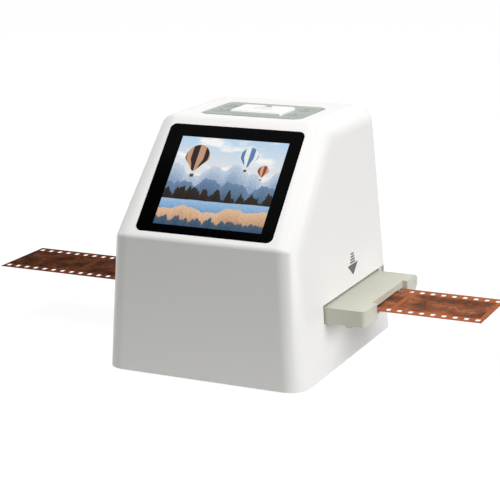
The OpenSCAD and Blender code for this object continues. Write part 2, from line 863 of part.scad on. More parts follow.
module display_cable() {
    a = slope_point(window_mid, lcd_back + conn_gap);
    d = board_face(display_conn_z, conn_t + conn_gap);
    inward = [tan(slope_angle), -1];
    reach = (d[0] - a[0]) / 3;
    color(flex_amber) flex(
        display_flex_x, flex_w, a, a + (a[1] - lens_plate_z) * inward, d - [reach, 0.75 * flex_reach], d);
}

module key_cable() {
    a = [key_plate_y + key_screw_y + 3 + conn_gap, key_board_z - conn_t / 2];
    d = board_face(key_conn_z, conn_t + conn_gap);
    color(flex_amber) flex(key_flex_x, flex_w, a, a + [flex_reach, 0], d - [flex_reach, 0], d);
}

module sensor_cable() {
    a = [film_y + sensor_board_w / 2 + conn_gap, sensor_z + board_t + conn_t / 2];
    d = board_face(sensor_conn_z, conn_t + conn_gap);
    color(flex_amber) flex(0, flex_w, a, a + [flex_reach, 0], d - [flex_reach, 0], d);
}

module led_cable() {
    a = [film_y + light_d / 2 - inner_wall - 4, light_z0 + box_floor + led_board_t + flex_t];
    d = [port_y0 + 3, port_top + flex_t];
    color(flex_amber) flex(
        led_flex_x, flex_w, a, a + [0.75 * flex_reach, 0], d + [-0.75 * flex_reach, 0.15 * flex_reach], d);
}

module port_cable() {
    a = [port_y1 - 2.4, port_top + conn_t + conn_gap];
    d = board_face(port_conn_z - conn_h / 2 - conn_gap, conn_t / 2);
    rise = d[1] - a[1];
    color(flex_amber) flex(port_flex_x, 0.625 * flex_w, a, a + [0, 0.77 * rise], d - [0, 0.09 * rise], d);
}

module port_board() {
    color(board_green) difference() {
        translate([0, (port_y0 + port_y1) / 2, port_board_z]) block(port_board_w, port_board_d, port_board_t);
        port_screw_places() translate([0, 0, port_board_z - cut])
            cylinder(r = small_pilot_r + 0.2, h = port_board_t + 2 * cut);
    }
}

module port_board_screws() {
    color(screw_steel) port_screw_places()
        translate([0, 0, port_top]) mirror([0, 0, 1])
            screw(small_pilot_r - pin_gap, port_board_t + board_bite, small_head_r, small_head_h);
}

module usb_socket() {
    shell = 0.4;
    mouth_y = back_y(port_top) - 0.6;
    color([0.75, 0.76, 0.78]) translate([usb_x, mouth_y - usb_l, port_top]) difference() {
        translate([-usb_w / 2, 0, 0]) cube([usb_w, usb_l, usb_h]);
        translate([-usb_w / 2 + shell, 1.5, shell]) cube([usb_w - 2 * shell, usb_l, usb_h - 2 * shell]);
        // the two cut corners of the plug's outline
        for (sx = [-1, 1])
            translate([sx * usb_w / 2, -cut, 0]) rotate([-90, 0, 0]) rotate([0, 0, 45])
                block(0.8, 0.8, usb_l + 2 * cut);
    }
    // the contact tongue inside
    color([0.15, 0.15, 0.15]) translate([usb_x, mouth_y - usb_l / 2, port_top + usb_h / 2 - 0.35])
        block(usb_w - 3, usb_l - 2, 0.7);
}

module card_socket() {
    mouth_y = back_y(port_top) - 0.6;
    floor_t = 0.5;
    color([0.7, 0.71, 0.73]) translate([card_x, mouth_y - card_l, port_top]) difference() {
        translate([-card_w / 2, 0, 0]) cube([card_w, card_l, card_h]);
        translate([-card_mouth_w / 2, 1.5, floor_t]) cube([card_mouth_w, card_l, card_mouth_h]);
        // the bevelled corner of the card's outline, left solid, and two windows in the lid
        for (sx = [-1, 1])
            translate([sx * card_mouth_w / 4, card_l * 0.55, card_h - floor_t - cut]) block(5, 4, 2);
    }
}

module sensor_board() {
    color(board_green) difference() {
        translate([0, film_y, sensor_z]) block(sensor_board_w, sensor_board_w, board_t);
        for (s = [-1, 1])
            translate([s * (holder_w / 2 - 2.5), film_y + s * (holder_w / 2 - 2.5), sensor_z - cut])
                cylinder(r = small_pilot_r + 0.2, h = board_t + 2 * cut);
    }
}

module sensor_screws() {
    color(screw_steel) for (s = [-1, 1])
        translate([s * (holder_w / 2 - 2.5), film_y + s * (holder_w / 2 - 2.5), sensor_z + board_t])
            mirror([0, 0, 1])
                screw(small_pilot_r - pin_gap, board_t + sensor_bite, small_head_r, small_head_h);
}

module image_sensor() {
    color([0.1, 0.12, 0.2]) translate([0, film_y, sensor_z - 1.2]) block(9, 7.5, 1.2);
}

module lens_holder() {
    top_t = 2.4;
    color([0.1, 0.1, 0.1]) translate([0, film_y, lens_base_z]) difference() {
        union() {
            rounded_plate(holder_w, holder_w, 2, 2);
            cylinder(r = barrel_r + 2.2, h = holder_h);
            translate([0, 0, holder_h - top_t]) rounded_plate(holder_w, holder_w, top_t, 2);
        }
        translate([0, 0, -cut]) cylinder(r = barrel_r + pin_gap, h = holder_h - 2 + cut);
        translate([0, 0, holder_h - 2.5]) block(10.4, 9, 2.5 + cut);
        for (s = [-1, 1])
            translate([s * (holder_w / 2 - 2.5), s * (holder_w / 2 - 2.5), holder_h - top_t - cut])
                cylinder(r = small_pilot_r, h = top_t + 2 * cut);
    }
}

module lens_barrel() {
    color([0.08, 0.08, 0.08]) translate([0, film_y, lens_base_z + holder_h - 3.2 - barrel_l]) difference() {
        cylinder(r = barrel_r, h = barrel_l);
        translate([0, 0, -cut]) cylinder(r = barrel_r - 1.2, h = 2 + cut);
        cylinder(r = barrel_r - 2.6, h = barrel_l);
        translate([0, 0, barrel_l - 2.6]) cylinder(r = barrel_r - 1.6, h = 2.6 + cut);
    }
}

// A lens with two curved faces, by its radius, edge thickness and the rise of each face
module lens(r, edge, rise) {
    ball_r = (r * r + rise * rise) / (2 * rise);
    rotate_extrude($fn = 96) intersection() {
        translate([0, -edge / 2 - rise]) square([r, edge + 2 * rise]);
        translate([0, edge / 2 + rise - ball_r]) circle(ball_r, $fn = 720);
        translate([0, -edge / 2 - rise + ball_r]) circle(ball_r, $fn = 720);
    }
}

module lens_elements() {
    bottom = lens_base_z + holder_h - 3.2 - barrel_l;
    color([0.6, 0.75, 0.85, 0.5]) translate([0, film_y, 0]) {
        translate([0, 0, bottom + 1.35]) lens(barrel_r - 1.3, 0.5, 0.4);
        translate([0, 0, bottom + barrel_l - 1.9]) lens(barrel_r - 1.7, 0.5, 0.4);
    }
}

// The dark chamber: a flange on the guide's rails, a tapered tower and the lens plate
module optics_chamber() {
    flange_y0 = guide_y0;
    flange_y1 = guide_y1 - 0.4;
    color([0.12, 0.12, 0.12]) difference() {
        union() {
            translate([0, (flange_y0 + flange_y1) / 2, roof_z])
                rounded_plate(2 * roof_x, flange_y1 - flange_y0, roof_t, 2);
            hull() {
                translate([0, film_y, roof_z + roof_t - 0.1]) block(chamber_l0, chamber_w0, 0.1);
                translate([0, film_y, lens_plate_z]) block(chamber_top, chamber_top, lens_plate_t);
            }
        }
        hull() {
            translate([0, film_y, roof_z + roof_t - 0.1])
                block(chamber_l0 - 2 * inner_wall, chamber_w0 - 2 * inner_wall, 0.1);
            translate([0, film_y, lens_plate_z - 0.1])
                block(chamber_top - 2 * inner_wall, chamber_top - 2 * inner_wall, 0.1);
        }
        translate([0, film_y, roof_z - cut])
            block(chamber_l0 - 2 * inner_wall, chamber_w0 - 2 * inner_wall, roof_t + cut);
        translate([0, film_y, lens_plate_z - cut]) cylinder(r = barrel_r + 1, h = lens_plate_t + 2 * cut);
        chamber_screw_places() translate([0, 0, roof_z - cut])
            cylinder(r = small_pilot_r + 0.2, h = roof_t + 2 * cut);
    }
}

module chamber_screws() {
    color(screw_steel) chamber_screw_places()
        translate([0, 0, roof_z + roof_t]) mirror([0, 0, 1])
            screw(small_pilot_r - pin_gap, roof_t + roof_bite, small_head_r, small_head_h);
}

// The guide that the tray slides in: a floor with a window for the light, and two rails
module tray_guide() {
    nose = wall_x(slot_z1) - 0.8;
    color(tray_abs) difference() {
        union() {
            translate([-guide_x, guide_y0, guide_z0]) cube([2 * guide_x, guide_y1 - guide_y0, guide_t]);
            translate([-guide_x, guide_y0, guide_z0]) cube([2 * guide_x, front_rail_w, roof_z - guide_z0]);
            translate([-guide_x, rail_y1, guide_z0])
                cube([2 * guide_x, guide_y1 - rail_y1, roof_z - guide_z0]);
            // noses that close the slot behind the tray
            translate([-nose, rail_y1 + 0.4, slot_z0 + slide_gap])
                cube([2 * nose, guide_y1 - rail_y1 - 0.4, slot_z1 - slot_z0 - 2 * slide_gap]);
        }
        translate([0, film_y, guide_z0 - cut]) block(gate_l + 3, gate_w + 3, guide_t + 2 * cut);
        // pocket of the detent spring
        translate([0, spring_y, guide_z1 - 1.7]) block(spring_l + 0.4, spring_w + 0.6, 1.7 + cut);
        guide_screw_places() translate([0, 0, guide_z0 - cut]) {
            cylinder(r = small_pilot_r + 0.2, h = guide_t + 2 * cut);
            translate([0, 0, guide_t - small_head_h - 0.2 + cut])
                cylinder(r = small_head_r + seat_gap, h = small_head_h + 0.2 + cut);
        }
        chamber_screw_places() translate([0, 0, roof_z - roof_bite - pilot_spare])
            cylinder(r = small_pilot_r, h = roof_bite + pilot_spare + cut);
    }
}

module guide_screws() {
    color(screw_steel) guide_screw_places()
        translate([0, 0, guide_z1 - small_head_h - 0.2]) mirror([0, 0, 1])
            screw(small_pilot_r - pin_gap, guide_bite, small_head_r, small_head_h);
}

// A leaf of spring steel with a round bump that stands up into the groove under the tray
module detent_spring() {
    seat = guide_z1 - 1.7;
    color([0.78, 0.78, 0.76]) translate([0, spring_y + spring_w / 2, seat])
        rotate([90, 0, 0]) linear_extrude(spring_w) difference() {
            union() {
                translate([-spring_l / 2, 0]) square([spring_l, spring_t]);
                intersection() {
                    circle(bump_r);
                    translate([-bump_r, 0]) square([2 * bump_r, bump_r]);
                }
            }
            circle(bump_r - spring_t);
        }
}

module light_box() {
    color("white") translate([0, film_y, light_z0]) difference() {
        rounded_plate(light_w, light_d, light_h, 3);
        translate([0, 0, box_floor])
            rounded_plate(light_w - 2 * inner_wall - 4, light_d - 2 * inner_wall - 4, light_h, 1.5);
        translate([0, 0, light_h - diffuser_t - 0.1])
            rounded_plate(light_w - 2 * inner_wall, light_d - 2 * inner_wall, diffuser_t + cut, 1.5);
        // way out for the cable of the light board
        translate([led_flex_x, light_d / 2, box_floor + led_board_t - 0.2])
            block(flex_w + 2, 2 * inner_wall + 9, 5);
    }
}

module diffuser() {
    color([0.95, 0.96, 0.97]) translate([0, film_y, light_z0 + light_h - diffuser_t - 0.1])
        rounded_plate(light_w - 2 * inner_wall - play, light_d - 2 * inner_wall - play, diffuser_t, 1.3);
}

module led_board() {
    color("white") translate([0, film_y, light_z0 + box_floor])
        block(light_w - 2 * inner_wall - 6, light_d - 2 * inner_wall - 6, led_board_t);
}

module leds() {
    color([0.98, 0.95, 0.7]) translate([0, film_y, light_z0 + box_floor + led_board_t])
        for (x = [-1.5:1:1.5])
            for (y = [-1:1:1])
                translate([x * led_pitch, y * (led_pitch - 1) - led_w / 2, 0]) {
                    block(led_w, led_w * 0.9, led_t);
                    translate([0, 0, led_t]) cylinder(r = led_w * 0.36, h = led_t * 0.4);
                }
}

// Where knuckle i of the hinge starts; there are seven, and the odd ones belong to the cover
function knuckle_x(i) =
    i == 0 ? tray_x0 : i == knuckles ? tray_x1 : tray_x0 + end_knuckle + (i - 1) * mid_knuckle;

module hinge_spans(parity, r, grow) {
    inset = knuckle_gap / 2 - grow;
    for (i = [0:knuckles - 1])
        if (i % 2 == parity) bar_x(r, knuckle_x(i) + inset, knuckle_x(i + 1) - inset, hinge_y, hinge_z);
}

// Notches between the ears, at both ends
module ear_notches(z, h) {
    for (x = [tray_x0 - cut, tray_x1 - notch_l])
        translate([x, film_y - notch_w / 2, z]) cube([notch_l + cut, notch_w, h]);
}

module tray_base() {
    corner = 2;
    flat_d = hinge_y - tray_y0;
    color(tray_abs) difference() {
        union() {
            difference() {
                translate([tray_x0 + tray_l / 2, tray_y0 + flat_d / 2, tray_z]) {
                    rounded_plate(tray_l, flat_d, tray_t, corner);
                    translate([0, flat_d / 4, 0]) block(tray_l, flat_d / 2, tray_floor);
                }
                translate([tray_x0 - cut, tray_y0 + rail_w, split_z])
                    cube([tray_l + 2 * cut, tray_w, tray_t]);
                hinge_spans(1, hinge_r + knuckle_clear, knuckle_gap);
            }
            hinge_spans(0, hinge_r, 0);
            // stop under the front edge, outside the housing
            translate([tray_x1 - 8.5, tray_y0 + 0.3, tray_z - 0.8]) cube([2.4, 1.6, 1.8]);
        }
        ear_notches(tray_z - 1, tray_t + 2);
        // film channel, with a deeper strip under the picture
        translate([tray_x0 - cut, film_y - film_w / 2 - film_side_gap, split_z - channel_d])
            cube([tray_l + 2 * cut, film_w + 2 * film_side_gap, channel_d + cut]);
        translate([tray_x0 - cut, film_y - gate_w / 2, split_z - channel_d - 0.25])
            cube([tray_l + 2 * cut, gate_w, channel_d + cut]);
        translate([0, film_y, tray_z - cut]) block(gate_l, gate_w, tray_t);
        // groove and notches for the detent spring
        translate([tray_x0 - cut, spring_y - spring_w / 2 - 0.6, tray_z - cut])
            cube([wall_x(tray_z) + tray_l / 2, spring_w + 1.2, groove_d + cut]);
        for (x = [-frame_step, 0, frame_step])
            translate([x, spring_y + spring_w / 2 + 0.6, tray_z - 0.8]) rotate([90, 0, 0])
                cylinder(r = 2.3, h = spring_w + 1.2);
        // fingernail notch and snap grooves in the front wall
        translate([knuckle_x(5) - 8, tray_y0 - cut, tray_top - 1.4]) cube([12, rail_w + 2 * cut, 2]);
        for (x = [tray_x0 + 16, tray_x1 - 34])
            bar_x(snap_r + snap_gap, x - 0.3, x + snap_l + 0.3, tray_y0 + rail_w, split_z + 1.6);
        bar_x(pin_r + pin_gap, tray_x0 - cut, tray_x1 + cut, hinge_y, hinge_z);
    }
}

module tray_cover() {
    y0 = tray_y0 + rail_w + snap_gap;
    z0 = split_z + cover_gap;
    color(tray_abs) difference() {
        union() {
            difference() {
                translate([tray_x0, y0, z0]) cube([tray_l, hinge_y - y0, tray_top - z0]);
                hinge_spans(0, hinge_r + knuckle_clear, knuckle_gap);
            }
            hinge_spans(1, hinge_r, 0);
            for (x = [tray_x0 + 16, tray_x1 - 34])
                bar_x(snap_r, x, x + snap_l, y0, split_z + 1.6);
        }
        ear_notches(z0 - cut, tray_t);
        // relief over the picture, and the aperture with its sloping sides
        translate([tray_x0 - cut, film_y - gate_w / 2, z0 - cut]) cube([tray_l + 2 * cut, gate_w, cut + 0.3]);
        hull() {
            translate([0, film_y, z0 - cut]) block(gate_l, gate_w, 0.1);
            translate([0, film_y, tray_top + 0.1]) block(gate_l + 3, gate_w + 3, 0.1);
        }
        bar_x(pin_r + pin_gap, tray_x0 - cut, tray_x1 + cut, hinge_y, hinge_z);
    }
}

module tray_hinge_pin() {
    color(screw_steel) bar_x(pin_r, tray_x0 + seat_gap, tray_x1 - seat_gap, hinge_y, hinge_z);
}

module film_strip() {
    color([0.6, 0.27, 0.16]) translate([film_shift - film_l / 2, film_y - film_w / 2, film_z])
        linear_extrude(film_t) difference() {
            square([film_l, film_w]);
            for (i = [0:perf_count - 1])
                for (y = [perf_edge, film_w - perf_edge - perf_w])
                    translate([(i + 0.5) * perf_pitch - perf_l / 2, y]) square([perf_l, perf_w]);
        }
}

main_housing();
base_plate();
rubber_feet();
base_screws();
display_window();
lcd_panel();
display_bracket();
display_screws();
key_plate();
scan_key();
small_key(key_places[0]);  // key_front_left
small_key(key_places[1]);  // key_back_left
small_key(key_places[2]);  // key_front_right
small_key(key_places[3]);  // key_back_right
scan_plunger();
plunger(key_places[0]);  // plunger_front_left
plunger(key_places[1]);  // plunger_back_left
plunger(key_places[2]);  // plunger_front_right
plunger(key_places[3]);  // plunger_back_right
key_board();
key_board_screws();
switch_bodies();
main_board();
main_chips();
main_board_screws();
cable_connectors();
port_board();
port_board_screws();
usb_socket();
card_socket();
sensor_board();
sensor_screws();
image_sensor();
lens_holder();
lens_barrel();
lens_elements();
optics_chamber();
chamber_screws();
tray_guide();
guide_screws();
detent_spring();
light_box();
diffuser();
led_board();
leds();
display_cable();
key_cable();
sensor_cable();
led_cable();
port_cable();
tray_base();
tray_cover();
tray_hinge_pin();
film_strip();
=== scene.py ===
import json
import math

import bpy
from mathutils import Matrix, Vector

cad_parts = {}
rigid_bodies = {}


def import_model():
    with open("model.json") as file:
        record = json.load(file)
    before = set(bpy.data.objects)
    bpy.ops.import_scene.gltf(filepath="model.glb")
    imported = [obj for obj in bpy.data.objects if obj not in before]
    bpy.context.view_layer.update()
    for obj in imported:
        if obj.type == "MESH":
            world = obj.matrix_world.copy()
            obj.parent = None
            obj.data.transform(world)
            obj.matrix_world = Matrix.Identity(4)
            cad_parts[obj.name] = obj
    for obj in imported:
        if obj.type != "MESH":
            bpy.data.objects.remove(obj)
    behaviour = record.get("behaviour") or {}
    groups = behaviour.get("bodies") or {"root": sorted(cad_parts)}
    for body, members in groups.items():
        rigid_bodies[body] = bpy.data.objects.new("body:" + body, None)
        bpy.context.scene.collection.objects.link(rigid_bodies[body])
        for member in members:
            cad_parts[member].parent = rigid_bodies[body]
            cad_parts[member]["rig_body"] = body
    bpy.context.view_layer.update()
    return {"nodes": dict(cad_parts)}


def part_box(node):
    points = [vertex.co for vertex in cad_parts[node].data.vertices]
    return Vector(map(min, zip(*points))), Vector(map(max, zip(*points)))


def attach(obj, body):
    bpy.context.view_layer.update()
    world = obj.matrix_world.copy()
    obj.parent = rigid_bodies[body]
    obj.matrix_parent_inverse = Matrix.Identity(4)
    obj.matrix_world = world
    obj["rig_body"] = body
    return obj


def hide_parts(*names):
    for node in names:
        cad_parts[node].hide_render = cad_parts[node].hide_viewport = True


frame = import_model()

bpy.ops.object.select_all(action="DESELECT")

# Camera.  A long lens, a little above the object and to the right of its front, tilted by
# less than a degree.  Its place was worked out from the edges of the body and the film.
azimuth = math.radians(25.495)
elevation = math.radians(14.656)
roll = math.radians(-0.807)
distance = 0.671034
aim = Vector((-0.001772, 0, 0.042624))
focal_length_px = 1560.942
picture_px = 500
back = Vector((
    math.sin(azimuth) * math.cos(elevation),
    -math.cos(azimuth) * math.cos(elevation),
    math.sin(elevation)))
level = Vector((math.cos(azimuth), math.sin(azimuth), 0))
upright = back.cross(level)
right = level * math.cos(roll) + upright * math.sin(roll)
up = upright * math.cos(roll) - level * math.sin(roll)
camera_data = bpy.data.cameras.new("camera")
camera_data.sensor_width = 36
camera_data.lens = camera_data.sensor_width * focal_length_px / picture_px
camera = bpy.data.objects.new("camera", camera_data)
facing = Matrix((right, up, back)).transposed().to_4x4()
camera.matrix_world = Matrix.Translation(aim + back * distance) @ facing
bpy.context.scene.collection.objects.link(camera)
bpy.context.scene.camera = camera


# Studio.  A white table and a white surround, a large soft box overhead and another on the
# right, so that the top, the screen and the right wall are bright and the front is in soft shade.
def linear(code):
    """An sRGB hex colour, such as "F2F1EE", as the linear colour that a shader takes."""
    channels = [int(code[i:i + 2], 16) / 255 for i in (0, 2, 4)]
    return [c / 12.92 if c <= 0.04045 else ((c + 0.055) / 1.055) ** 2.4 for c in channels] + [1.0]


def add_node(tree, kind, inputs=None, **settings):
    """Adds a node.  inputs gives a socket's name or number its value, or the output that feeds it.

    Some numbers of sockets: Map Range takes its value in 0, the span it comes in as 1 and 2, and the
    span it goes out as 3 and 4.  A Mix of colours takes its share in 0 and its colours in 6 and 7,
    and gives the result in output 2.
    """
    node = tree.nodes.new(kind)
    for name, value in settings.items():
        setattr(node, name, value)
    for socket, value in (inputs or {}).items():
        if isinstance(value, bpy.types.NodeSocket):
            tree.links.new(value, node.inputs[socket])
        else:
            node.inputs[socket].default_value = value
    return node


def seen_directly(tree):
    """1 for what the camera, a mirror or a clear piece sees, 0 for light on its way to a matte surface."""
    path = add_node(tree, "ShaderNodeLightPath")
    either = add_node(tree, "ShaderNodeMath", {
        0: path.outputs["Is Camera Ray"], 1: path.outputs["Is Glossy Ray"]}, operation="MAXIMUM")
    return add_node(tree, "ShaderNodeMath", {
        0: either.outputs[0], 1: path.outputs["Is Transmission Ray"]}, operation="MAXIMUM").outputs[0]


world = bpy.data.worlds.new("white surround")
bpy.context.scene.world = world
world.use_nodes = True
sky = world.node_tree
sky_strength = 0.2
fill = add_node(sky, "ShaderNodeBackground", {"Color": linear("FAFBF6"), "Strength": sky_strength})
shown = add_node(sky, "ShaderNodeBackground", {"Color": linear("FFFFFF"), "Strength": 1.0})
mixed = add_node(sky, "ShaderNodeMixShader", {
    0: seen_directly(sky), 1: fill.outputs[0], 2: shown.outputs[0]})
sky.links.new(mixed.outputs[0], sky.nodes["World Output"].inputs["Surface"])

table_size = 12
bpy.ops.mesh.primitive_plane_add(size=table_size, location=(0, 0, 0))
floor = bpy.context.object
floor.name = "table_top"
# Laminate is an even white that takes a soft shadow.  A sheet of white paper under the object
# throws light on the foot of its walls, which fades between these distances from its middle.
paper_full = 0.14
paper_edge = 0.24
table_glow = 0.955
table = bpy.data.materials.new("white laminate table")
table.use_nodes = True
tree = table.node_tree
place = add_node(tree, "ShaderNodeTexCoord").outputs["Object"]
away = add_node(tree, "ShaderNodeVectorMath", {0: place}, operation="LENGTH").outputs["Value"]
paper = add_node(tree, "ShaderNodeMapRange", {0: away, 1: paper_edge, 2: paper_full}).outputs[0]
bounce = add_node(tree, "ShaderNodeMix", {
    0: paper, 6: linear("484848"), 7: linear("AEAEAC")}, data_type="RGBA").outputs[2]
lit = add_node(tree, "ShaderNodeBsdfDiffuse", {"Color": bounce})
shade = add_node(tree, "ShaderNodeBsdfDiffuse", {"Color": linear("626262")})
glow = add_node(tree, "ShaderNodeEmission", {"Color": linear("FFFFFF"), "Strength": table_glow})
bright = add_node(tree, "ShaderNodeAddShader", {0: shade.outputs[0], 1: glow.outputs[0]})
mixed = add_node(tree, "ShaderNodeMixShader", {
    0: seen_directly(tree), 1: lit.outputs[0], 2: bright.outputs[0]})
tree.links.new(mixed.outputs[0], tree.nodes["Material Output"].inputs["Surface"])
floor.data.materials.append(table)

lit_point = Vector((0, 0, 0.04))
for name, stand, width, watts in (
        ("overhead soft box", (-0.15, -0.22, 1.05), 0.6, 7.9),
        ("right soft box", (0.98, -0.12, 0.34), 0.6, 7.4)):
    lamp = bpy.data.lights.new(name, "AREA")
    lamp.size = width
    lamp.energy = watts
    holder = bpy.data.objects.new(name, lamp)
    facing = (lit_point - Vector(stand)).to_track_quat("-Z", "Y").to_matrix().to_4x4()
    holder.matrix_world = Matrix.Translation(stand) @ facing
    bpy.context.scene.collection.objects.link(holder)

bpy.context.scene.view_settings.view_transform = "Standard"

# Housing.  One injection moulding in white ABS, 2.4 mm thick, drawn off a core from below,
# with a fine spark-eroded skin that gives a soft sheen and no sharp reflection.
merge_distance = 0.000002
flat_angle = math.radians(0.5)
sharp_angle = math.radians(35)
smooth_angle = math.radians(40)
rounding_steps = 3
# Nearly all the values of a noise texture lie between these two
noise_low = 0.3
noise_high = 0.7


def finish(name, colour, roughness, sockets=None):
    """A material with plain values on its shader's own sockets; gives it, its node tree and its shader."""
    material = bpy.data.materials.new(name)
    material.use_nodes = True
    shader = material.node_tree.nodes["Principled BSDF"]
    shader.inputs["Base Color"].default_value = linear(colour)
    shader.inputs["Roughness"].default_value = roughness
    for socket, value in (sockets or {}).items():
        shader.inputs[socket].default_value = value
    return material, material.node_tree, shader


def grained_skin(tree, shader, grain, depth, gloss):
    """The skin that a mould or a roller leaves: grains of that size and depth, and gloss that drifts.

    The real grain is about 0.1 mm.  Each grain is drawn coarser, so that it shows at all.
    """
    drift_size = 0.02
    place = add_node(tree, "ShaderNodeTexCoord").outputs["Object"]
    grit = add_node(tree, "ShaderNodeTexNoise", {"Vector": place, "Scale": 1 / grain, "Detail": 3.0})
    bump = add_node(tree, "ShaderNodeBump", {"Height": grit.outputs[0], "Distance": depth, "Strength": 1.0})
    tree.links.new(bump.outputs[0], shader.inputs["Normal"])
    drift = add_node(tree, "ShaderNodeTexNoise", {"Vector": place, "Scale": 1 / drift_size, "Detail": 1.0})
    rough = add_node(tree, "ShaderNodeMapRange", {
        0: drift.outputs[0], 1: noise_low, 2: noise_high, 3: gloss[0], 4: gloss[1]})
    tree.links.new(rough.outputs[0], shader.inputs["Roughness"])


def flat_faces_stay_flat(piece):
    """Shades the roundings of a piece smooth without bending the light on the flat faces beside them."""
    bpy.ops.mesh.customdata_custom_splitnormals_clear()
    bpy.ops.object.shade_smooth_by_angle(angle=smooth_angle)
    weighing = piece.modifiers.new("weighing", "WEIGHTED_NORMAL")
    weighing.keep_sharp = True
    bpy.ops.object.modifier_apply(modifier=weighing.name)


def refined(node, material, edge):
    """A merged copy of a CAD node, its sharp edges rounded off at edge, which stands for that node."""
    source = frame["nodes"][node]
    piece = bpy.data.objects.new(node + "_finished", source.data.copy())
    bpy.context.scene.collection.objects.link(piece)
    bpy.ops.object.select_all(action="DESELECT")
    bpy.context.view_layer.objects.active = piece
    piece.select_set(True)
    bpy.ops.object.mode_set(mode="EDIT")
    bpy.ops.mesh.select_all(action="SELECT")
    bpy.ops.mesh.remove_doubles(threshold=merge_distance)
    bpy.ops.mesh.dissolve_limited(angle_limit=flat_angle)
    bpy.ops.object.mode_set(mode="OBJECT")
    if edge:
        rounding = piece.modifiers.new("rounding", "BEVEL")
        rounding.width = edge
        rounding.segments = rounding_steps
        rounding.limit_method = "ANGLE"
        rounding.angle_limit = sharp_angle
        bpy.ops.object.modifier_apply(modifier=rounding.name)
    flat_faces_stay_flat(piece)
    piece.data.materials.clear()
    piece.data.materials.append(material)
    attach(piece, source["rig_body"])
    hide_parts(node)
    return piece


# Spark-eroded ABS is an even, barely warm white, with a soft sheen on its roundings
white_abs, tree, shader = finish(
    "white ABS, spark-eroded mould", "F3F2F1", 0.34, {"IOR": 1.53, "Specular IOR Level": 0.2})
grained_skin(tree, shader, grain=0.0005, depth=0.000006, gloss=(0.3, 0.38))
refined("main_housing", white_abs, edge=0.00025)

# Insert mark.  A striped arrow in dark grey ink, pad-printed on the right wall of the housing,
# which leans inwards there.  It points down at the slot for the tray.
ink_film = 0.00004
side_lean = math.radians(3.5)
half_width = 0.045
arrow_y = 0.0077
arrow_tip = 0.0344
head_height = 0.0048
head_width = 0.0114
stripe_count = 4
stripe_height = 0.0008
stripe_pitch = 0.00118
first_stripe = 0.7
widest_stripe = 0.0056
narrowest_stripe = 0.0032


def pad_print_ink(name, dark, pale, mottle):
    """Ink laid by a soft pad: a matte film, thinner in places, which gives it a faint mottle."""
    material, tree, shader = finish(name, dark, roughness=0.5)
    place = add_node(tree, "ShaderNodeTexCoord").outputs["Object"]
    cover = add_node(tree, "ShaderNodeTexNoise", {"Vector": place, "Scale": 1 / mottle})
    tone = add_node(tree, "ShaderNodeMix", {
        0: cover.outputs[0], 6: linear(dark), 7: linear(pale)}, data_type="RGBA")
    tree.links.new(tone.outputs[2], shader.inputs["Base Color"])
    return material


def printed(prints, name, material, body):
    """Joins prints into one piece, with its place in its mesh, on the body that they are printed on."""
    bpy.ops.object.select_all(action="DESELECT")
    for part in prints:
        part.select_set(True)
    bpy.context.view_layer.objects.active = prints[0]
    bpy.ops.object.transform_apply(location=True, rotation=True, scale=True)
    if len(prints) > 1:
        bpy.ops.object.join()
    piece = bpy.context.object
    piece.name = name
    piece.data.materials.append(material)
    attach(piece, body)


def printed_bar(place, size, lean=0):
    """A bar of ink of that size at a place, which leans back by an angle."""
    bpy.ops.mesh.primitive_cube_add(size=1, location=place, rotation=(0, -lean, 0), scale=size)
    return bpy.context.object


def on_right_wall(z):
    """The place of the arrow's middle line at a height, where a quarter of the ink stands proud."""
    return Vector((half_width - z * math.tan(side_lean) + ink_film / 4, arrow_y, z))


# From a step away the mottle blends into one dark grey with soft edges
arrow_ink = pad_print_ink("dark grey pad-print ink", "4A4B4E", "66676A", mottle=0.0004)
# The head is a flat prism with equal sides, turned to point down, then drawn out to its width
head_radius = head_height * 2 / 3
bpy.ops.object.select_all(action="DESELECT")
bpy.ops.mesh.primitive_cylinder_add(
    vertices=3, radius=head_radius, depth=ink_film, rotation=(0, 0, -math.pi / 2))
head = bpy.context.object
bpy.ops.object.transform_apply(rotation=True)
head.scale.y = head_width / (head_radius * math.sqrt(3))
head.rotation_euler.y = math.pi / 2 - side_lean
head.location = on_right_wall(arrow_tip + head_radius)
arrow = [head]
for i in range(stripe_count):
    z = arrow_tip + head_height + stripe_pitch * (i + first_stripe)
    width = widest_stripe + (narrowest_stripe - widest_stripe) * i / (stripe_count - 1)
    arrow.append(printed_bar(on_right_wall(z), (ink_film, width, stripe_height), side_lean))
printed(arrow, "insert_arrow", arrow_ink, "scanner")


# Base.  A flat white ABS cover let into the housing from below, with four moulded rubber feet
# pressed into its pockets.  Four zinc-plated screws hold it, their flat heads sunk in counterbores.
def cloudy_gloss(tree, shader, spread, gloss):
    """Gloss that wavers between two roughnesses, in clouds of that size."""
    place = add_node(tree, "ShaderNodeTexCoord").outputs["Object"]
    cloud = add_node(tree, "ShaderNodeTexNoise", {"Vector": place, "Scale": 1 / spread, "Detail": 2.0})
    rough = add_node(tree, "ShaderNodeMapRange", {
        0: cloud.outputs[0], 1: noise_low, 2: noise_high, 3: gloss[0], 4: gloss[1]})
    tree.links.new(rough.outputs[0], shader.inputs["Roughness"])


def dress(material, *nodes):
    """Gives its real material to each CAD node that keeps its own mesh."""
    for node in nodes:
        frame["nodes"][node].material_slots[0].material = material


refined("base_plate", white_abs, edge=0.0002)
# Rubber takes up nearly all the light and keeps only a dull sheen
rubber, tree, shader = finish("black moulded rubber", "2B2B2C", 0.75, {"Specular IOR Level": 0.35})
grained_skin(tree, shader, grain=0.0004, depth=0.00001, gloss=(0.68, 0.82))
refined("rubber_feet", rubber, edge=0)
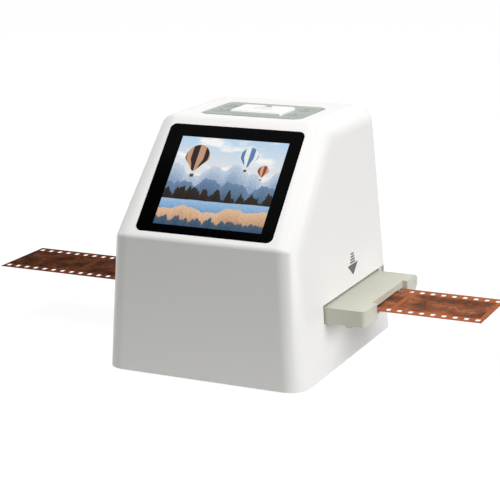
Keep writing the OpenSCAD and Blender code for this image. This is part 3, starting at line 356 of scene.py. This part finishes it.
# Zinc plating is a cool grey metal with a faint cloudiness of about 1 mm, also on the screws inside
zinc, tree, shader = finish("zinc-plated steel", "B9BABD", 0.32, {"Metallic": 1.0})
cloudy_gloss(tree, shader, 0.001, gloss=(0.26, 0.42))
dress(zinc, "base_screws", "display_screws", "key_board_screws", "main_board_screws",
      "port_board_screws", "sensor_screws", "chamber_screws", "guide_screws")

# Display.  A flat window, screen-printed black on its back outside the picture, glued into
# its seat over a liquid-crystal panel that shows a made-up landscape.
picture_w = 0.0485
picture_h = 0.042
picture_drop = 0.0011
picture_right = 0.0009
panel_glow = 0.92
# Black ink behind clear acrylic is deep and even, and handling leaves soft smears of about 8 mm on it
border, tree, shader = finish(
    "black-printed clear acrylic", "020203", 0.1, {"IOR": 1.49, "Specular IOR Level": 0.005})
cloudy_gloss(tree, shader, 0.008, gloss=(0.07, 0.14))
window = refined("display_window", border, edge=0)
# The window's front is the largest of its faces that look upwards
face = max(window.data.polygons, key=lambda polygon: polygon.area * (polygon.normal.z > 0))
out_of_slope = face.normal.copy()
across_slope = Vector((1, 0, 0))
up_slope = out_of_slope.cross(across_slope)
heights = [vertex.co.dot(up_slope) for vertex in window.data.vertices]
picture_low = (min(heights) + max(heights)) / 2 - picture_drop - picture_h / 2
bpy.ops.object.mode_set(mode="EDIT")
for normal, offset in (
        (across_slope, picture_right + picture_w / 2),
        (across_slope, picture_right - picture_w / 2),
        (up_slope, picture_low),
        (up_slope, picture_low + picture_h)):
    bpy.ops.mesh.select_all(action="SELECT")
    bpy.ops.mesh.bisect(plane_co=normal * offset, plane_no=normal)
bpy.ops.object.mode_set(mode="OBJECT")
flat_faces_stay_flat(window)

# A lit panel gives its own light, so that its colours stay clear beside the white housing.  Its
# picture is drawn in mm, across from the window's middle line and up from the picture's foot.
picture, tree, shader = finish(
    "liquid-crystal picture behind acrylic", "060607", 0.12, {"IOR": 1.49, "Specular IOR Level": 0.01})
place = add_node(tree, "ShaderNodeTexCoord").outputs["Object"]
across = add_node(tree, "ShaderNodeVectorMath", {
    0: place, 1: across_slope * 1000}, operation="DOT_PRODUCT").outputs["Value"]
rise = add_node(tree, "ShaderNodeVectorMath", {
    0: place, 1: up_slope * 1000}, operation="DOT_PRODUCT").outputs["Value"]
height = add_node(tree, "ShaderNodeMath", {
    0: rise, 1: picture_low * 1000}, operation="SUBTRACT").outputs[0]
flat = add_node(tree, "ShaderNodeCombineXYZ", {0: across, 1: height}).outputs[0]

# The sky goes from pale haze to blue, with clouds drawn out along the horizon where the noise is high
haze_low = 20.0
haze_high = 42.0
cloud_shape = (0.06, 0.17, 1)
cloud_from = 0.5
cloud_full = 0.62
haze = add_node(tree, "ShaderNodeMapRange", {0: height, 1: haze_low, 2: haze_high}).outputs[0]
view = add_node(tree, "ShaderNodeMix", {
    0: haze, 6: linear("F6EEE6"), 7: linear("BCD9F2")}, data_type="RGBA").outputs[2]
stretch = add_node(tree, "ShaderNodeVectorMath", {0: flat, 1: cloud_shape}, operation="MULTIPLY").outputs[0]
puffs = add_node(tree, "ShaderNodeTexNoise", {"Vector": stretch, "Scale": 1.0, "Detail": 5.0}).outputs[0]
puffs = add_node(tree, "ShaderNodeMapRange", {0: puffs, 1: cloud_from, 2: cloud_full}).outputs[0]
view = add_node(tree, "ShaderNodeMix", {
    0: puffs, 6: view, 7: linear("FDFCFB")}, data_type="RGBA").outputs[2]

# Each ridge: its height, how far it rises and falls, how wide its shapes are and how soft its edge
# is, all in mm, and its colours at the crest and below it.  The fourth is a lake.  Each is cut from
# the noise at a place of its own.  Its colour deepens below the crest, broken up by speckles.
next_cut = 7
noise_dip = 0.2
noise_peak = 0.8
deepest = 9.0
speckle_size = 0.9
speckle_mean = 0.35
for ridge, swing, spread, softness, crest, foot in (
        (27.0, 9.0, 15.0, 0.5, "D5E0EC", "8FA8C6"),
        (20.5, 6.0, 9.0, 0.4, "7690AE", "4F6A88"),
        (15.8, 5.0, 2.6, 0.3, "3B332E", "241E1D"),
        (12.4, 0.4, 20.0, 0.3, "A9CBE8", "5F8DBE"),
        (8.6, 3.2, 11.0, 0.4, "EBC9A8", "BE8D6B"),
        (3.4, 3.0, 3.0, 0.4, "51697F", "2C3F57")):
    along = add_node(tree, "ShaderNodeCombineXYZ", {0: across, 1: ridge * next_cut}).outputs[0]
    shape = add_node(tree, "ShaderNodeTexNoise", {
        "Vector": along, "Scale": 1 / spread, "Detail": 3.0}).outputs[0]
    line = add_node(tree, "ShaderNodeMapRange", {
        0: shape, 1: noise_dip, 2: noise_peak, 3: ridge - swing, 4: ridge + swing}).outputs[0]
    under = add_node(tree, "ShaderNodeMath", {0: line, 1: height}, operation="SUBTRACT").outputs[0]
    mask = add_node(tree, "ShaderNodeMapRange", {0: under, 1: 0.0, 2: softness}).outputs[0]
    speckle = add_node(tree, "ShaderNodeTexNoise", {
        "Vector": flat, "Scale": 1 / speckle_size, "Detail": 3.0}).outputs[0]
    depth = add_node(tree, "ShaderNodeMapRange", {0: under, 1: 0.0, 2: deepest}).outputs[0]
    depth = add_node(tree, "ShaderNodeMath", {0: depth, 1: speckle}, operation="ADD").outputs[0]
    depth = add_node(tree, "ShaderNodeMath", {
        0: depth, 1: speckle_mean}, operation="SUBTRACT", use_clamp=True).outputs[0]
    tone = add_node(tree, "ShaderNodeMix", {
        0: depth, 6: linear(crest), 7: linear(foot)}, data_type="RGBA").outputs[2]
    view = add_node(tree, "ShaderNodeMix", {0: mask, 6: view, 7: tone}, data_type="RGBA").outputs[2]

# Hot-air balloons.  In radii: how far the mouth and the basket lie below the middle, half the
# basket's width, and how soft its edge is.
mouth_drop = 1.3
basket_drop = 1.5
basket_half = 0.15
basket_blur = 0.02
# How many times narrower a balloon gets towards its mouth, how much a height counts beside a width
# on the balloon and on the basket, and the waves of the gores round the balloon.  The gores are
# wrapped on a slightly larger radius, so that the arc sine holds up to the outline.
mouth_draw = 2.4
balloon_height = 0.86
basket_height = 1.2
gore_waves = 6.0
gore_blur = 0.15
gore_radius = 1.02
outline_blur = 0.3
# Each balloon: place across, place up and radius in mm, and the two colours of its gores
for centre_x, centre_y, radius, dark, pale in (
        (-13.5, 32.0, 5.6, "33282A", "C99A7C"),
        (9.5, 34.0, 4.2, "F2F1EF", "5E84B4"),
        (17.5, 28.0, 2.6, "D8A889", "8C4A38")):
    from_centre = add_node(tree, "ShaderNodeVectorMath", {
        0: flat, 1: (centre_x, centre_y, 0)}, operation="SUBTRACT").outputs[0]
    away = add_node(tree, "ShaderNodeSeparateXYZ", {0: from_centre})
    narrow = add_node(tree, "ShaderNodeMapRange", {
        0: away.outputs[1], 1: 0.0, 2: -mouth_drop * radius, 3: 1.0, 4: mouth_draw},
        interpolation_type="SMOOTHSTEP").outputs[0]
    squeezed = add_node(tree, "ShaderNodeMath", {
        0: away.outputs[0], 1: narrow}, operation="MULTIPLY").outputs[0]
    droop = add_node(tree, "ShaderNodeMath", {
        0: away.outputs[1], 1: balloon_height}, operation="MULTIPLY").outputs[0]
    gap = add_node(tree, "ShaderNodeCombineXYZ", {0: squeezed, 1: droop}).outputs[0]
    gap = add_node(tree, "ShaderNodeVectorMath", {0: gap}, operation="LENGTH").outputs["Value"]
    mask = add_node(tree, "ShaderNodeMapRange", {0: gap, 1: radius, 2: radius - outline_blur}).outputs[0]
    basket = add_node(tree, "ShaderNodeVectorMath", {
        0: from_centre, 1: (0, -basket_drop * radius, 0)}, operation="SUBTRACT").outputs[0]
    basket = add_node(tree, "ShaderNodeVectorMath", {
        0: basket, 1: (1, basket_height, 0)}, operation="MULTIPLY").outputs[0]
    basket = add_node(tree, "ShaderNodeVectorMath", {0: basket}, operation="ABSOLUTE").outputs[0]
    basket = add_node(tree, "ShaderNodeSeparateXYZ", {0: basket})
    basket = add_node(tree, "ShaderNodeMath", {
        0: basket.outputs[0], 1: basket.outputs[1]}, operation="MAXIMUM").outputs[0]
    basket = add_node(tree, "ShaderNodeMapRange", {
        0: basket,
        1: (basket_half + basket_blur) * radius,
        2: (basket_half - basket_blur) * radius}).outputs[0]
    view = add_node(tree, "ShaderNodeMix", {
        0: basket, 6: view, 7: linear("5A4032")}, data_type="RGBA").outputs[2]
    # The gores run from top to mouth, spaced evenly round the balloon
    turn = add_node(tree, "ShaderNodeMath", {
        0: squeezed, 1: radius * gore_radius}, operation="DIVIDE").outputs[0]
    turn = add_node(tree, "ShaderNodeMath", {0: turn}, operation="ARCSINE").outputs[0]
    gores = add_node(tree, "ShaderNodeMath", {0: turn, 1: gore_waves}, operation="MULTIPLY").outputs[0]
    gores = add_node(tree, "ShaderNodeMath", {0: gores}, operation="SINE").outputs[0]
    gores = add_node(tree, "ShaderNodeMapRange", {0: gores, 1: -gore_blur, 2: gore_blur}).outputs[0]
    tone = add_node(tree, "ShaderNodeMix", {
        0: gores, 6: linear(dark), 7: linear(pale)}, data_type="RGBA").outputs[2]
    view = add_node(tree, "ShaderNodeMix", {0: mask, 6: view, 7: tone}, data_type="RGBA").outputs[2]
tree.links.new(view, shader.inputs["Emission Color"])
shader.inputs["Emission Strength"].default_value = panel_glow
window.data.materials.append(picture)
for polygon in window.data.polygons:
    faces_out = polygon.normal.dot(out_of_slope) > 0.99
    within_width = abs(polygon.center.x - picture_right) < picture_w / 2
    within_height = 0 < polygon.center.dot(up_slope) - picture_low < picture_h
    if faces_out and within_width and within_height:
        polygon.material_index = 1

# The panel behind is glass in a thin steel frame, cool grey and half bright
panel_glass, tree, shader = finish(
    "liquid-crystal panel in its steel frame", "8C9298", 0.3, {"Metallic": 0.6})
grained_skin(tree, shader, grain=0.0006, depth=0.000004, gloss=(0.25, 0.35))
dress(panel_glass, "lcd_panel")

# Key plate.  Pale grey ABS, clipped into a recess in the top, with four small keys of the
# same plastic that stand almost level with it.
# A fine matte mould leaves a flat grey with a touch of green and hardly any highlight
grey_abs, tree, shader = finish(
    "pale grey ABS, fine matte mould", "A8AEA8", 0.42, {"Specular IOR Level": 0.1})
grained_skin(tree, shader, grain=0.0004, depth=0.000008, gloss=(0.38, 0.46))
refined("key_plate", grey_abs, edge=0.0003)
for node in ("key_front_left", "key_back_left", "key_front_right", "key_back_right"):
    refined(node, grey_abs, edge=0.00015)

# Scan key.  The large key is white ABS from a polished mould.  It slides in the middle of the
# plate and rests on the plunger of its switch.
# The polished skin is brighter and glossier than the plate, with a clear highlight on its edge
key_abs, tree, shader = finish("white ABS, polished mould", "F7F7F6", 0.22, {"IOR": 1.53})
grained_skin(tree, shader, grain=0.001, depth=0.000002, gloss=(0.2, 0.26))
refined("scan_key", key_abs, edge=0.0004)

# Key marks.  Small pad-printed signs: an arrow head for each way, a ring and three bars on the
# small keys, and a framed dot with an oval spot behind it on the scan key.
mark_size = 0.0013
ring_line = mark_size * 0.35
bar_size = (mark_size * 2, mark_size * 0.32, ink_film)
bar_pitch = mark_size * 0.7
round_sides = 40
spot_place = Vector((0.0001, 0.0056, 0))
spot_radii = (0.0018, 0.0012, 1)
sign_w = 0.0064
sign_d = 0.0042
sign_line = 0.0005


def key_top(node):
    """The middle of a key's top, where a quarter of the ink stands proud."""
    low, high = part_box(node)
    return Vector(((low.x + high.x) / 2, (low.y + high.y) / 2, high.z - ink_film / 4))


# Two inks of the same kind: mid grey to stand out on the grey keys, and pale grey on the white key
mark_ink = pad_print_ink("mid grey pad-print ink", "454A46", "5C615D", mottle=0.0003)
pale_ink = pad_print_ink("pale grey pad-print ink", "A8ACA8", "BCC0BC", mottle=0.0003)

for node, way in (("key_front_left", math.pi), ("key_front_right", 0)):
    bpy.ops.mesh.primitive_cylinder_add(
        vertices=3, radius=mark_size, depth=ink_film, location=key_top(node),
        rotation=(0, 0, way - math.pi / 2))
    printed([bpy.context.object], node + "_mark", mark_ink, node)

bpy.ops.object.select_all(action="DESELECT")
bpy.ops.mesh.primitive_circle_add(
    vertices=round_sides, radius=mark_size, fill_type="NGON", location=key_top("key_back_left"))
bpy.ops.object.mode_set(mode="EDIT")
bpy.ops.mesh.inset(thickness=ring_line)
bpy.ops.mesh.delete(type="FACE")
bpy.ops.mesh.select_all(action="SELECT")
bpy.ops.mesh.extrude_region_move(TRANSFORM_OT_translate={"value": (0, 0, ink_film / 2)})
bpy.ops.mesh.select_all(action="SELECT")
bpy.ops.mesh.normals_make_consistent(inside=False)
bpy.ops.object.mode_set(mode="OBJECT")
printed([bpy.context.object], "key_back_left_mark", mark_ink, "key_back_left")

bars = []
for i in (-1, 0, 1):
    bars.append(printed_bar(key_top("key_back_right") + Vector((0, i * bar_pitch, 0)), bar_size))
printed(bars, "key_back_right_mark", mark_ink, "key_back_right")

bpy.ops.mesh.primitive_cylinder_add(
    vertices=round_sides, radius=1, depth=ink_film, location=key_top("scan_key") + spot_place)
bpy.context.object.scale = spot_radii
printed([bpy.context.object], "scan_key_spot", mark_ink, "scan_key")

frame_and_dot = []
for x, y, w, d in (
        (0, -sign_d / 2, sign_w, sign_line),
        (0, sign_d / 2, sign_w, sign_line),
        (-sign_w / 2, 0, sign_line, sign_d),
        (sign_w / 2, 0, sign_line, sign_d),
        (0, 0, sign_line * 2, sign_line * 2)):
    frame_and_dot.append(printed_bar(key_top("scan_key") + Vector((x, y, 0)), (w, d, ink_film)))
printed(frame_and_dot, "scan_key_mark", pale_ink, "scan_key")

# Boards, chips and cables.  Woven glass boards screwed to bosses, posts and the lens holder, with
# black moulded chips and switches, and cream nylon connectors in which flat cables are clamped.
# Solder mask is a glossy green, and the copper under it shows as paler patches about 2.5 mm apart
track_pitch = 0.0025
track_from = 0.35
track_full = 0.4
solder_mask, tree, shader = finish(
    "green solder mask on woven glass", "1F5C38", 0.3, {"Coat Weight": 0.4})
place = add_node(tree, "ShaderNodeTexCoord").outputs["Object"]
tracks = add_node(tree, "ShaderNodeTexVoronoi", {
    "Vector": place, "Scale": 1 / track_pitch}, distance="MANHATTAN")
paler = add_node(tree, "ShaderNodeMapRange", {0: tracks.outputs[0], 1: track_from, 2: track_full}).outputs[0]
tone = add_node(tree, "ShaderNodeMix", {
    0: paler, 6: linear("1F5C38"), 7: linear("2C7A4B")}, data_type="RGBA")
tree.links.new(tone.outputs[2], shader.inputs["Base Color"])
dress(solder_mask, "key_board", "main_board", "port_board", "sensor_board")
# Glass fibres leave black nylon dull and a little rough
black_nylon, tree, shader = finish("black glass-filled nylon", "1E1E1F", 0.55)
grained_skin(tree, shader, grain=0.0005, depth=0.000012, gloss=(0.48, 0.62))
dress(black_nylon, "main_chips", "switch_bodies", "scan_plunger", "plunger_front_left",
      "plunger_back_left", "plunger_front_right", "plunger_back_right", "display_bracket",
      "optics_chamber", "lens_holder", "lens_barrel", "image_sensor")
# Unfilled nylon keeps its own warm cream and a smooth skin
cream_nylon, tree, shader = finish("cream nylon", "E6E0CC", 0.4)
grained_skin(tree, shader, grain=0.0004, depth=0.000005, gloss=(0.36, 0.46))
dress(cream_nylon, "cable_connectors")
# Polyimide foil is clear amber over copper.  Its conductors are 0.5 mm apart, and are drawn 3.14 mm
# apart so that they show.  A wave texture of scale 1 runs through 20 radians in a metre.
conductor_pitch = 0.00314
polyimide, tree, shader = finish(
    "amber polyimide foil over copper", "B8761F", 0.28, {"Coat Weight": 0.5})
place = add_node(tree, "ShaderNodeTexCoord").outputs["Object"]
lanes = add_node(tree, "ShaderNodeTexWave", {
    "Vector": place, "Scale": math.tau / 20 / conductor_pitch}, bands_direction="X")
tone = add_node(tree, "ShaderNodeMix", {
    0: lanes.outputs[1], 6: linear("A86416"), 7: linear("CC8F35")}, data_type="RGBA")
tree.links.new(tone.outputs[2], shader.inputs["Base Color"])
dress(polyimide, "display_cable", "key_cable", "sensor_cable", "led_cable", "port_cable")

# Sockets.  Folded tin-plated steel shells, soldered to the port board behind two mouths in the
# back, for the power lead's plug and for a memory card.
# Tin plate is a bright grey metal with fine clouds from rolling, about 0.6 mm across
tin, tree, shader = finish("tin-plated sheet steel", "C3C5C8", 0.25, {"Metallic": 1.0})
cloudy_gloss(tree, shader, 0.0006, gloss=(0.2, 0.34))
for node in ("usb_socket", "card_socket"):
    refined(node, tin, edge=0.0001)

# Light and lens.  A white ABS box on the base with twelve light-emitting diodes under an opal
# sheet, and two coated glass lenses in the barrel above the film.
# The box and the coat of its board are a bright white with little gloss, which spreads the light
reflector, tree, shader = finish("white reflector ABS", "F2F3F4", 0.5)
grained_skin(tree, shader, grain=0.0006, depth=0.000006, gloss=(0.45, 0.55))
dress(reflector, "light_box", "led_board")
# Light goes into opal acrylic and comes out milky
opal, tree, shader = finish("opal acrylic sheet", "F4F6F8", 0.5, {"Subsurface Weight": 0.4})
grained_skin(tree, shader, grain=0.0004, depth=0.000004, gloss=(0.46, 0.56))
dress(opal, "diffuser")
# Phosphor gives an unlit diode its yellow, and the silicone over it a wet shine
diode, tree, shader = finish("phosphor in clear silicone", "F6E9A0", 0.2, {"Coat Weight": 0.6})
grained_skin(tree, shader, grain=0.0004, depth=0.000004, gloss=(0.16, 0.24))
dress(diode, "leds")
# Optical glass is clear and the smoothest thing here, with a cool tint from its coating
lens_glass, tree, shader = finish(
    "coated optical glass", "E8F0F6", 0.02, {"IOR": 1.52, "Transmission Weight": 0.9})
grained_skin(tree, shader, grain=0.002, depth=0.0000002, gloss=(0.01, 0.03))
dress(lens_glass, "lens_elements")
# Spring steel is bright and warm, with a fine rolled grain
bright_steel, tree, shader = finish("bright spring steel", "C9C9C6", 0.22, {"Metallic": 1.0})
grained_skin(tree, shader, grain=0.0003, depth=0.000002, gloss=(0.18, 0.28))
dress(bright_steel, "detent_spring")

# Film tray.  Two halves in pale grey-green ABS from a matte mould, joined along the back by
# seven knuckles and a steel pin.  The guide that holds it inside the housing is the same plastic.
# Thin grey-green ABS lets a little light in, so that its edges are soft and its shadows pale
tray_abs, tree, shader = finish("pale grey-green ABS, matte mould", "CCCCBE", 0.45, {
    "IOR": 1.53, "Subsurface Weight": 0.08, "Subsurface Radius": (0.002, 0.002, 0.0015)})
grained_skin(tree, shader, grain=0.0005, depth=0.00001, gloss=(0.4, 0.5))
refined("tray_base", tray_abs, edge=0.0007)
refined("tray_cover", tray_abs, edge=0.0007)
refined("tray_guide", tray_abs, edge=0.0002)
refined("tray_hinge_pin", zinc, edge=0.0002)

# Film.  A strip of developed 35 mm colour negative, cut from the roll and held flat by the tray:
# an orange-masked base with frames at a pitch of 38 mm and two rows of punched, rounded holes.
film_low, film_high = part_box("film_strip")
film_size = film_high - film_low
hole_count = 48
hole_length = 0.00198
hole_width = 0.0028
hole_corner = 0.0005
corner_steps = 4
hole_edge = 0.00201
hole_pitch = film_size.x / hole_count
punch_height = 0.002
bpy.ops.object.select_all(action="DESELECT")
bpy.ops.mesh.primitive_cube_add(
    size=1, scale=(hole_length, hole_width, punch_height),
    location=(film_low.x + hole_pitch / 2, film_low.y + hole_edge + hole_width / 2, film_low.z))
punch = bpy.context.object
bpy.ops.object.transform_apply(location=True, rotation=True, scale=True)
bpy.ops.object.mode_set(mode="EDIT")
bpy.ops.mesh.select_all(action="DESELECT")
bpy.ops.object.mode_set(mode="OBJECT")
for edge in punch.data.edges:
    ends = [punch.data.vertices[i].co for i in edge.vertices]
    edge.select = abs(ends[0].z - ends[1].z) > punch_height / 2
bpy.ops.object.mode_set(mode="EDIT")
bpy.ops.mesh.select_mode(type="EDGE")
bpy.ops.mesh.bevel(offset=hole_corner, segments=corner_steps, affect="EDGES")
bpy.ops.object.mode_set(mode="OBJECT")
for count, step in (
        (hole_count, (hole_pitch, 0, 0)),
        (2, (0, film_size.y - 2 * hole_edge - hole_width, 0))):
    row = punch.modifiers.new("row", "ARRAY")
    row.count = count
    row.use_relative_offset = False
    row.use_constant_offset = True
    row.constant_offset_displace = step
    bpy.ops.object.modifier_apply(modifier=row.name)
bpy.ops.object.select_all(action="DESELECT")
bpy.ops.mesh.primitive_cube_add(size=1, location=(film_low + film_high) / 2, scale=film_size)
film = bpy.context.object
film.name = "film_negative"
bpy.ops.object.transform_apply(location=True, rotation=True, scale=True)
punched = film.modifiers.new("punched", "BOOLEAN")
punched.object = punch
punched.operation = "DIFFERENCE"
bpy.ops.object.modifier_apply(modifier=punched.name)
bpy.data.objects.remove(punch)

# Light goes into a negative and comes back orange-brown, with the reversed picture in darker
# browns.  The pattern is drawn in mm.  One gap between frames lies at gap_x, and the pictures'
# edges fade from just inside to just outside.
frame_pitch = 38.0
picture_long = 36.0
picture_short = 24.0
gap_x = 65.7
fade_outside = 0.1
fade_inside = 0.2
mass_size = 9.0
fleck_size = 2.2
base_cloud_size = 14.0
mass_from = 0.38
mass_full = 0.6
fleck_from = 0.42
fleck_full = 0.62
next_depth = 61.0
film_mid = (film_low.y + film_high.y) / 2 * 1000
negative, tree, shader = finish("developed colour negative film", "8E4526", 0.4, {
    "Specular IOR Level": 0.0, "Subsurface Weight": 0.5, "Subsurface Scale": 0.001})
place = add_node(tree, "ShaderNodeTexCoord").outputs["Object"]
place = add_node(tree, "ShaderNodeVectorMath", {0: place, "Scale": 1000.0}, operation="SCALE").outputs[0]
parts = add_node(tree, "ShaderNodeSeparateXYZ", {0: place})
# Which frame a place lies in, and how far it is from the middle of that frame
along = add_node(tree, "ShaderNodeMath", {0: parts.outputs[0], 1: gap_x}, operation="SUBTRACT").outputs[0]
turns = add_node(tree, "ShaderNodeMath", {0: along, 1: frame_pitch}, operation="DIVIDE").outputs[0]
number = add_node(tree, "ShaderNodeMath", {0: turns}, operation="FLOOR").outputs[0]
share = add_node(tree, "ShaderNodeMath", {0: turns}, operation="FRACT").outputs[0]
inside = add_node(tree, "ShaderNodeMath", {0: share, 1: 0.5}, operation="SUBTRACT").outputs[0]
inside = add_node(tree, "ShaderNodeMath", {0: inside}, operation="ABSOLUTE").outputs[0]
inside = add_node(tree, "ShaderNodeMapRange", {
    0: inside,
    1: (picture_long / 2 + fade_outside) / frame_pitch,
    2: (picture_long / 2 - fade_inside) / frame_pitch}).outputs[0]
middle = add_node(tree, "ShaderNodeMath", {
    0: parts.outputs[1], 1: film_mid}, operation="SUBTRACT").outputs[0]
middle = add_node(tree, "ShaderNodeMath", {0: middle}, operation="ABSOLUTE").outputs[0]
middle = add_node(tree, "ShaderNodeMapRange", {
    0: middle, 1: picture_short / 2 + fade_outside, 2: picture_short / 2 - fade_inside}).outputs[0]
exposed = add_node(tree, "ShaderNodeMath", {0: inside, 1: middle}, operation="MULTIPLY").outputs[0]
# Each frame has masses and flecks of its own, cut from the noise at another depth
own = add_node(tree, "ShaderNodeMath", {0: number, 1: next_depth}, operation="MULTIPLY").outputs[0]
spot = add_node(tree, "ShaderNodeCombineXYZ", {
    0: parts.outputs[0], 1: parts.outputs[1], 2: own}).outputs[0]
masses = add_node(tree, "ShaderNodeTexNoise", {
    "Vector": spot, "Scale": 1 / mass_size, "Detail": 2.0, "Roughness": 0.4}).outputs[0]
detail = add_node(tree, "ShaderNodeTexNoise", {
    "Vector": spot, "Scale": 1 / fleck_size, "Detail": 4.0}).outputs[0]
dark = add_node(tree, "ShaderNodeMapRange", {0: masses, 1: mass_from, 2: mass_full}).outputs[0]
fleck = add_node(tree, "ShaderNodeMapRange", {0: detail, 1: fleck_from, 2: fleck_full}).outputs[0]
image = add_node(tree, "ShaderNodeMix", {
    0: dark, 6: linear("9E664A"), 7: linear("543E33")}, data_type="RGBA").outputs[2]
image = add_node(tree, "ShaderNodeMix", {
    0: fleck, 6: image, 7: linear("7E4830")}, data_type="RGBA").outputs[2]
base = add_node(tree, "ShaderNodeTexNoise", {
    "Vector": place, "Scale": 1 / base_cloud_size, "Detail": 2.0}).outputs[0]
base = add_node(tree, "ShaderNodeMix", {
    0: base, 6: linear("9A5738"), 7: linear("A86442")}, data_type="RGBA").outputs[2]
tone = add_node(tree, "ShaderNodeMix", {0: exposed, 6: base, 7: image}, data_type="RGBA").outputs[2]
# Painted shade: the strip's colour is scaled down towards its left end, which isn't lit from behind, and is
# full at the right end
shaded_end_x = -60.0
lit_end_x = 50.0
painted_shade_tone = 0.38
painted_shade = add_node(tree, "ShaderNodeMapRange", {
    0: parts.outputs[0], 1: shaded_end_x, 2: lit_end_x, 3: painted_shade_tone, 4: 1.0}).outputs[0]
tone = add_node(tree, "ShaderNodeVectorMath", {0: tone, "Scale": painted_shade}, operation="SCALE").outputs[0]
tree.links.new(tone, shader.inputs["Base Color"])
film.data.materials.append(negative)
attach(film, "film")
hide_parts("film_strip")
